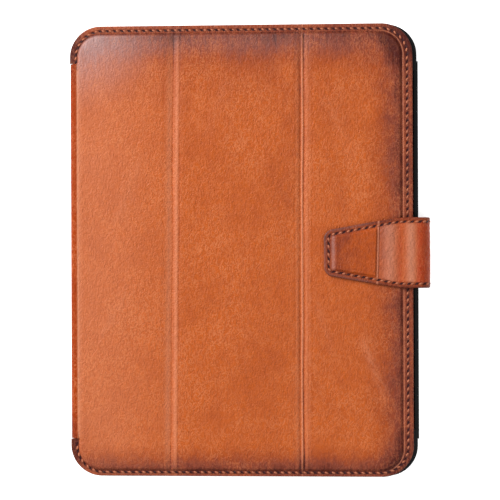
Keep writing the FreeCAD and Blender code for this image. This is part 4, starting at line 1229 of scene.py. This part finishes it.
skins = (cover_leather, edge_paint, microfibre)
back = shell("back_skin", *mirrored[:2], skins, *mirrored[2:])
check_outward(back)
stand_for(back, ["back_leather"], ["reader_and_back"])
spots, ways = stitch_frames(back_seam, STITCH_PITCH)
frames = (
    np.column_stack((spots, np.full(len(spots), 0.30))),
    np.column_stack((ways, np.zeros(len(ways)))),
    np.tile((0.0, 0.0, -1.0), (len(spots), 1)),
)
every = np.full(len(spots), True)
sew("back_stitches", frames, every, BACK_STITCH, ("reader_and_back",))

# %% [markdown]
# ## Rigid parts
# The tray, the reader and everything inside it keep their solids, which are exact already.
# What they need is the surface that the real material has: a spark-eroded grain on moulded
# plastic, brushing on metal, fibres in foam and card, and copper lines under green lacquer.

# %% Materials of the rigid parts
METAL = {"Metallic": 1.0}
black_shell = mottled(
    "moulded_black_shell", (3, 3, 4), (14, 14, 16), 0.46, 2.2, 0.02, Specular_IOR_Level=0.3
)
housing = mottled("reader_housing", (30, 31, 33), (46, 47, 50), 0.5, 2.4, 0.03)
bezel = mottled("reader_bezel", (24, 25, 27), (38, 39, 42), 0.46, 2.6, 0.03)
key_plastic = mottled("key_plastic", (34, 35, 37), (52, 53, 56), 0.4, 2.6, 0.02)
greyboard = napped("greyboard", (110, 106, 98), (150, 145, 134), 1.1, 0.08, 0.0)
foam = napped("thin_foam", (178, 176, 170), (214, 212, 206), 1.6, 0.15, 0.1)
rubber = napped("rubber_foam", (22, 22, 23), (44, 44, 46), 2.0, 0.1, 0.1)
magnesium = mottled("magnesium_frame", (120, 122, 124), (168, 170, 173), 0.42, 1.4, 0.02, **METAL)
foil = mottled("battery_foil", (150, 150, 150), (188, 188, 186), 0.36, 0.7, 0.05, 2.0, Metallic=0.7)
tin = mottled("tin_can", (168, 168, 165), (205, 205, 202), 0.3, 0.8, 0.02, 6.0, **METAL)
steel = mottled("stainless_steel", (140, 140, 142), (190, 190, 192), 0.3, 1.2, 0.01, 8.0, **METAL)
nickel = mottled("magnet_plating", (170, 168, 160), (205, 202, 192), 0.24, 0.9, 0.01, **METAL)
resin = mottled("chip_resin", (20, 20, 22), (38, 38, 40), 0.6, 3.0, 0.02)
polyimide = mottled("polyimide_ribbon", (150, 84, 22), (190, 118, 40), 0.32, 0.6, 0.01, 5.0)
paper = mottled("paper_display", (186, 186, 180), (208, 208, 202), 0.75, 5.0, 0.01)
print("materials:", len(bpy.data.materials))


# %% Circuit board and clear plates
def circuit_board():
    """Green lacquer over copper lines: a brick pattern for the lines, dots for the vias."""
    material, tree = new_material("circuit_board")
    place = millimetres(tree)
    lines = add(tree, "TexBrick", {"Vector": place, "Scale": 0.55, "Mortar Size": 0.06})
    dots = add(tree, "TexVoronoi", {"Vector": place, "Scale": 0.45})
    via = ranged(tree, dots.outputs["Distance"], 0.1, 0.16)
    colour = mix_colour(tree, lines.outputs["Fac"], paint(18, 74, 48), paint(52, 120, 74))
    colour = mix_colour(tree, via, paint(190, 150, 90), colour)
    finish_material(tree, colour, 0.35, lines.outputs["Fac"], 0.03)
    return material


def clear_plate(name, rough, tint):
    """Clear glass or acrylic; very fine noise in the surface is the etched anti-glare."""
    material, tree = new_material(name)
    etch = noise(tree, millimetres(tree), 9.0, 3.0)
    clear = {"Transmission_Weight": 1.0, "IOR": 1.45}
    finish_material(tree, paint(*tint), rough, etch, 0.003, **clear)
    return material


board_mat = circuit_board()
glass = clear_plate("etched_glass", 0.12, (252, 252, 250))
guide = clear_plate("clear_guide", 0.05, (252, 252, 252))

# %% Which solid gets which finish
FINISHES = (
    (black_shell, "tray_shell"),
    (greyboard, "back_board spine_board strap_tab_insert panel_1_board panel_2_board panel_3_board"),
    (foam, "panel_1_foam panel_2_foam panel_3_foam"),
    (nickel, "cover_magnets strap_magnet"),
    (steel, "strap_keeper frame_screws usb_port"),
    (housing, "rear_housing"),
    (magnesium, "mid_frame"),
    (foil, "battery_pack"),
    (board_mat, "main_board key_board"),
    (tin, "shield_can key_domes"),
    (resin, "board_chips power_switch"),
    (key_plastic, "battery_connector page_back_key page_forward_key power_key"),
    (polyimide, "wifi_aerial display_ribbon"),
    (paper, "display_panel light_strip"),
    (guide, "light_guide"),
    (glass, "cover_glass"),
    (rubber, "screen_gasket"),
    (bezel, "front_bezel"),
)
finish_of = {node: material for material, nodes in FINISHES for node in nodes.split()}
for node, material in finish_of.items():
    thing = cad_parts[node]
    thing.data.materials.clear()
    thing.data.materials.append(material)
plain = [n for n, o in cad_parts.items() if n not in finish_of and not o.hide_render]
print("nodes with a finish:", len(finish_of), "left plain:", plain)
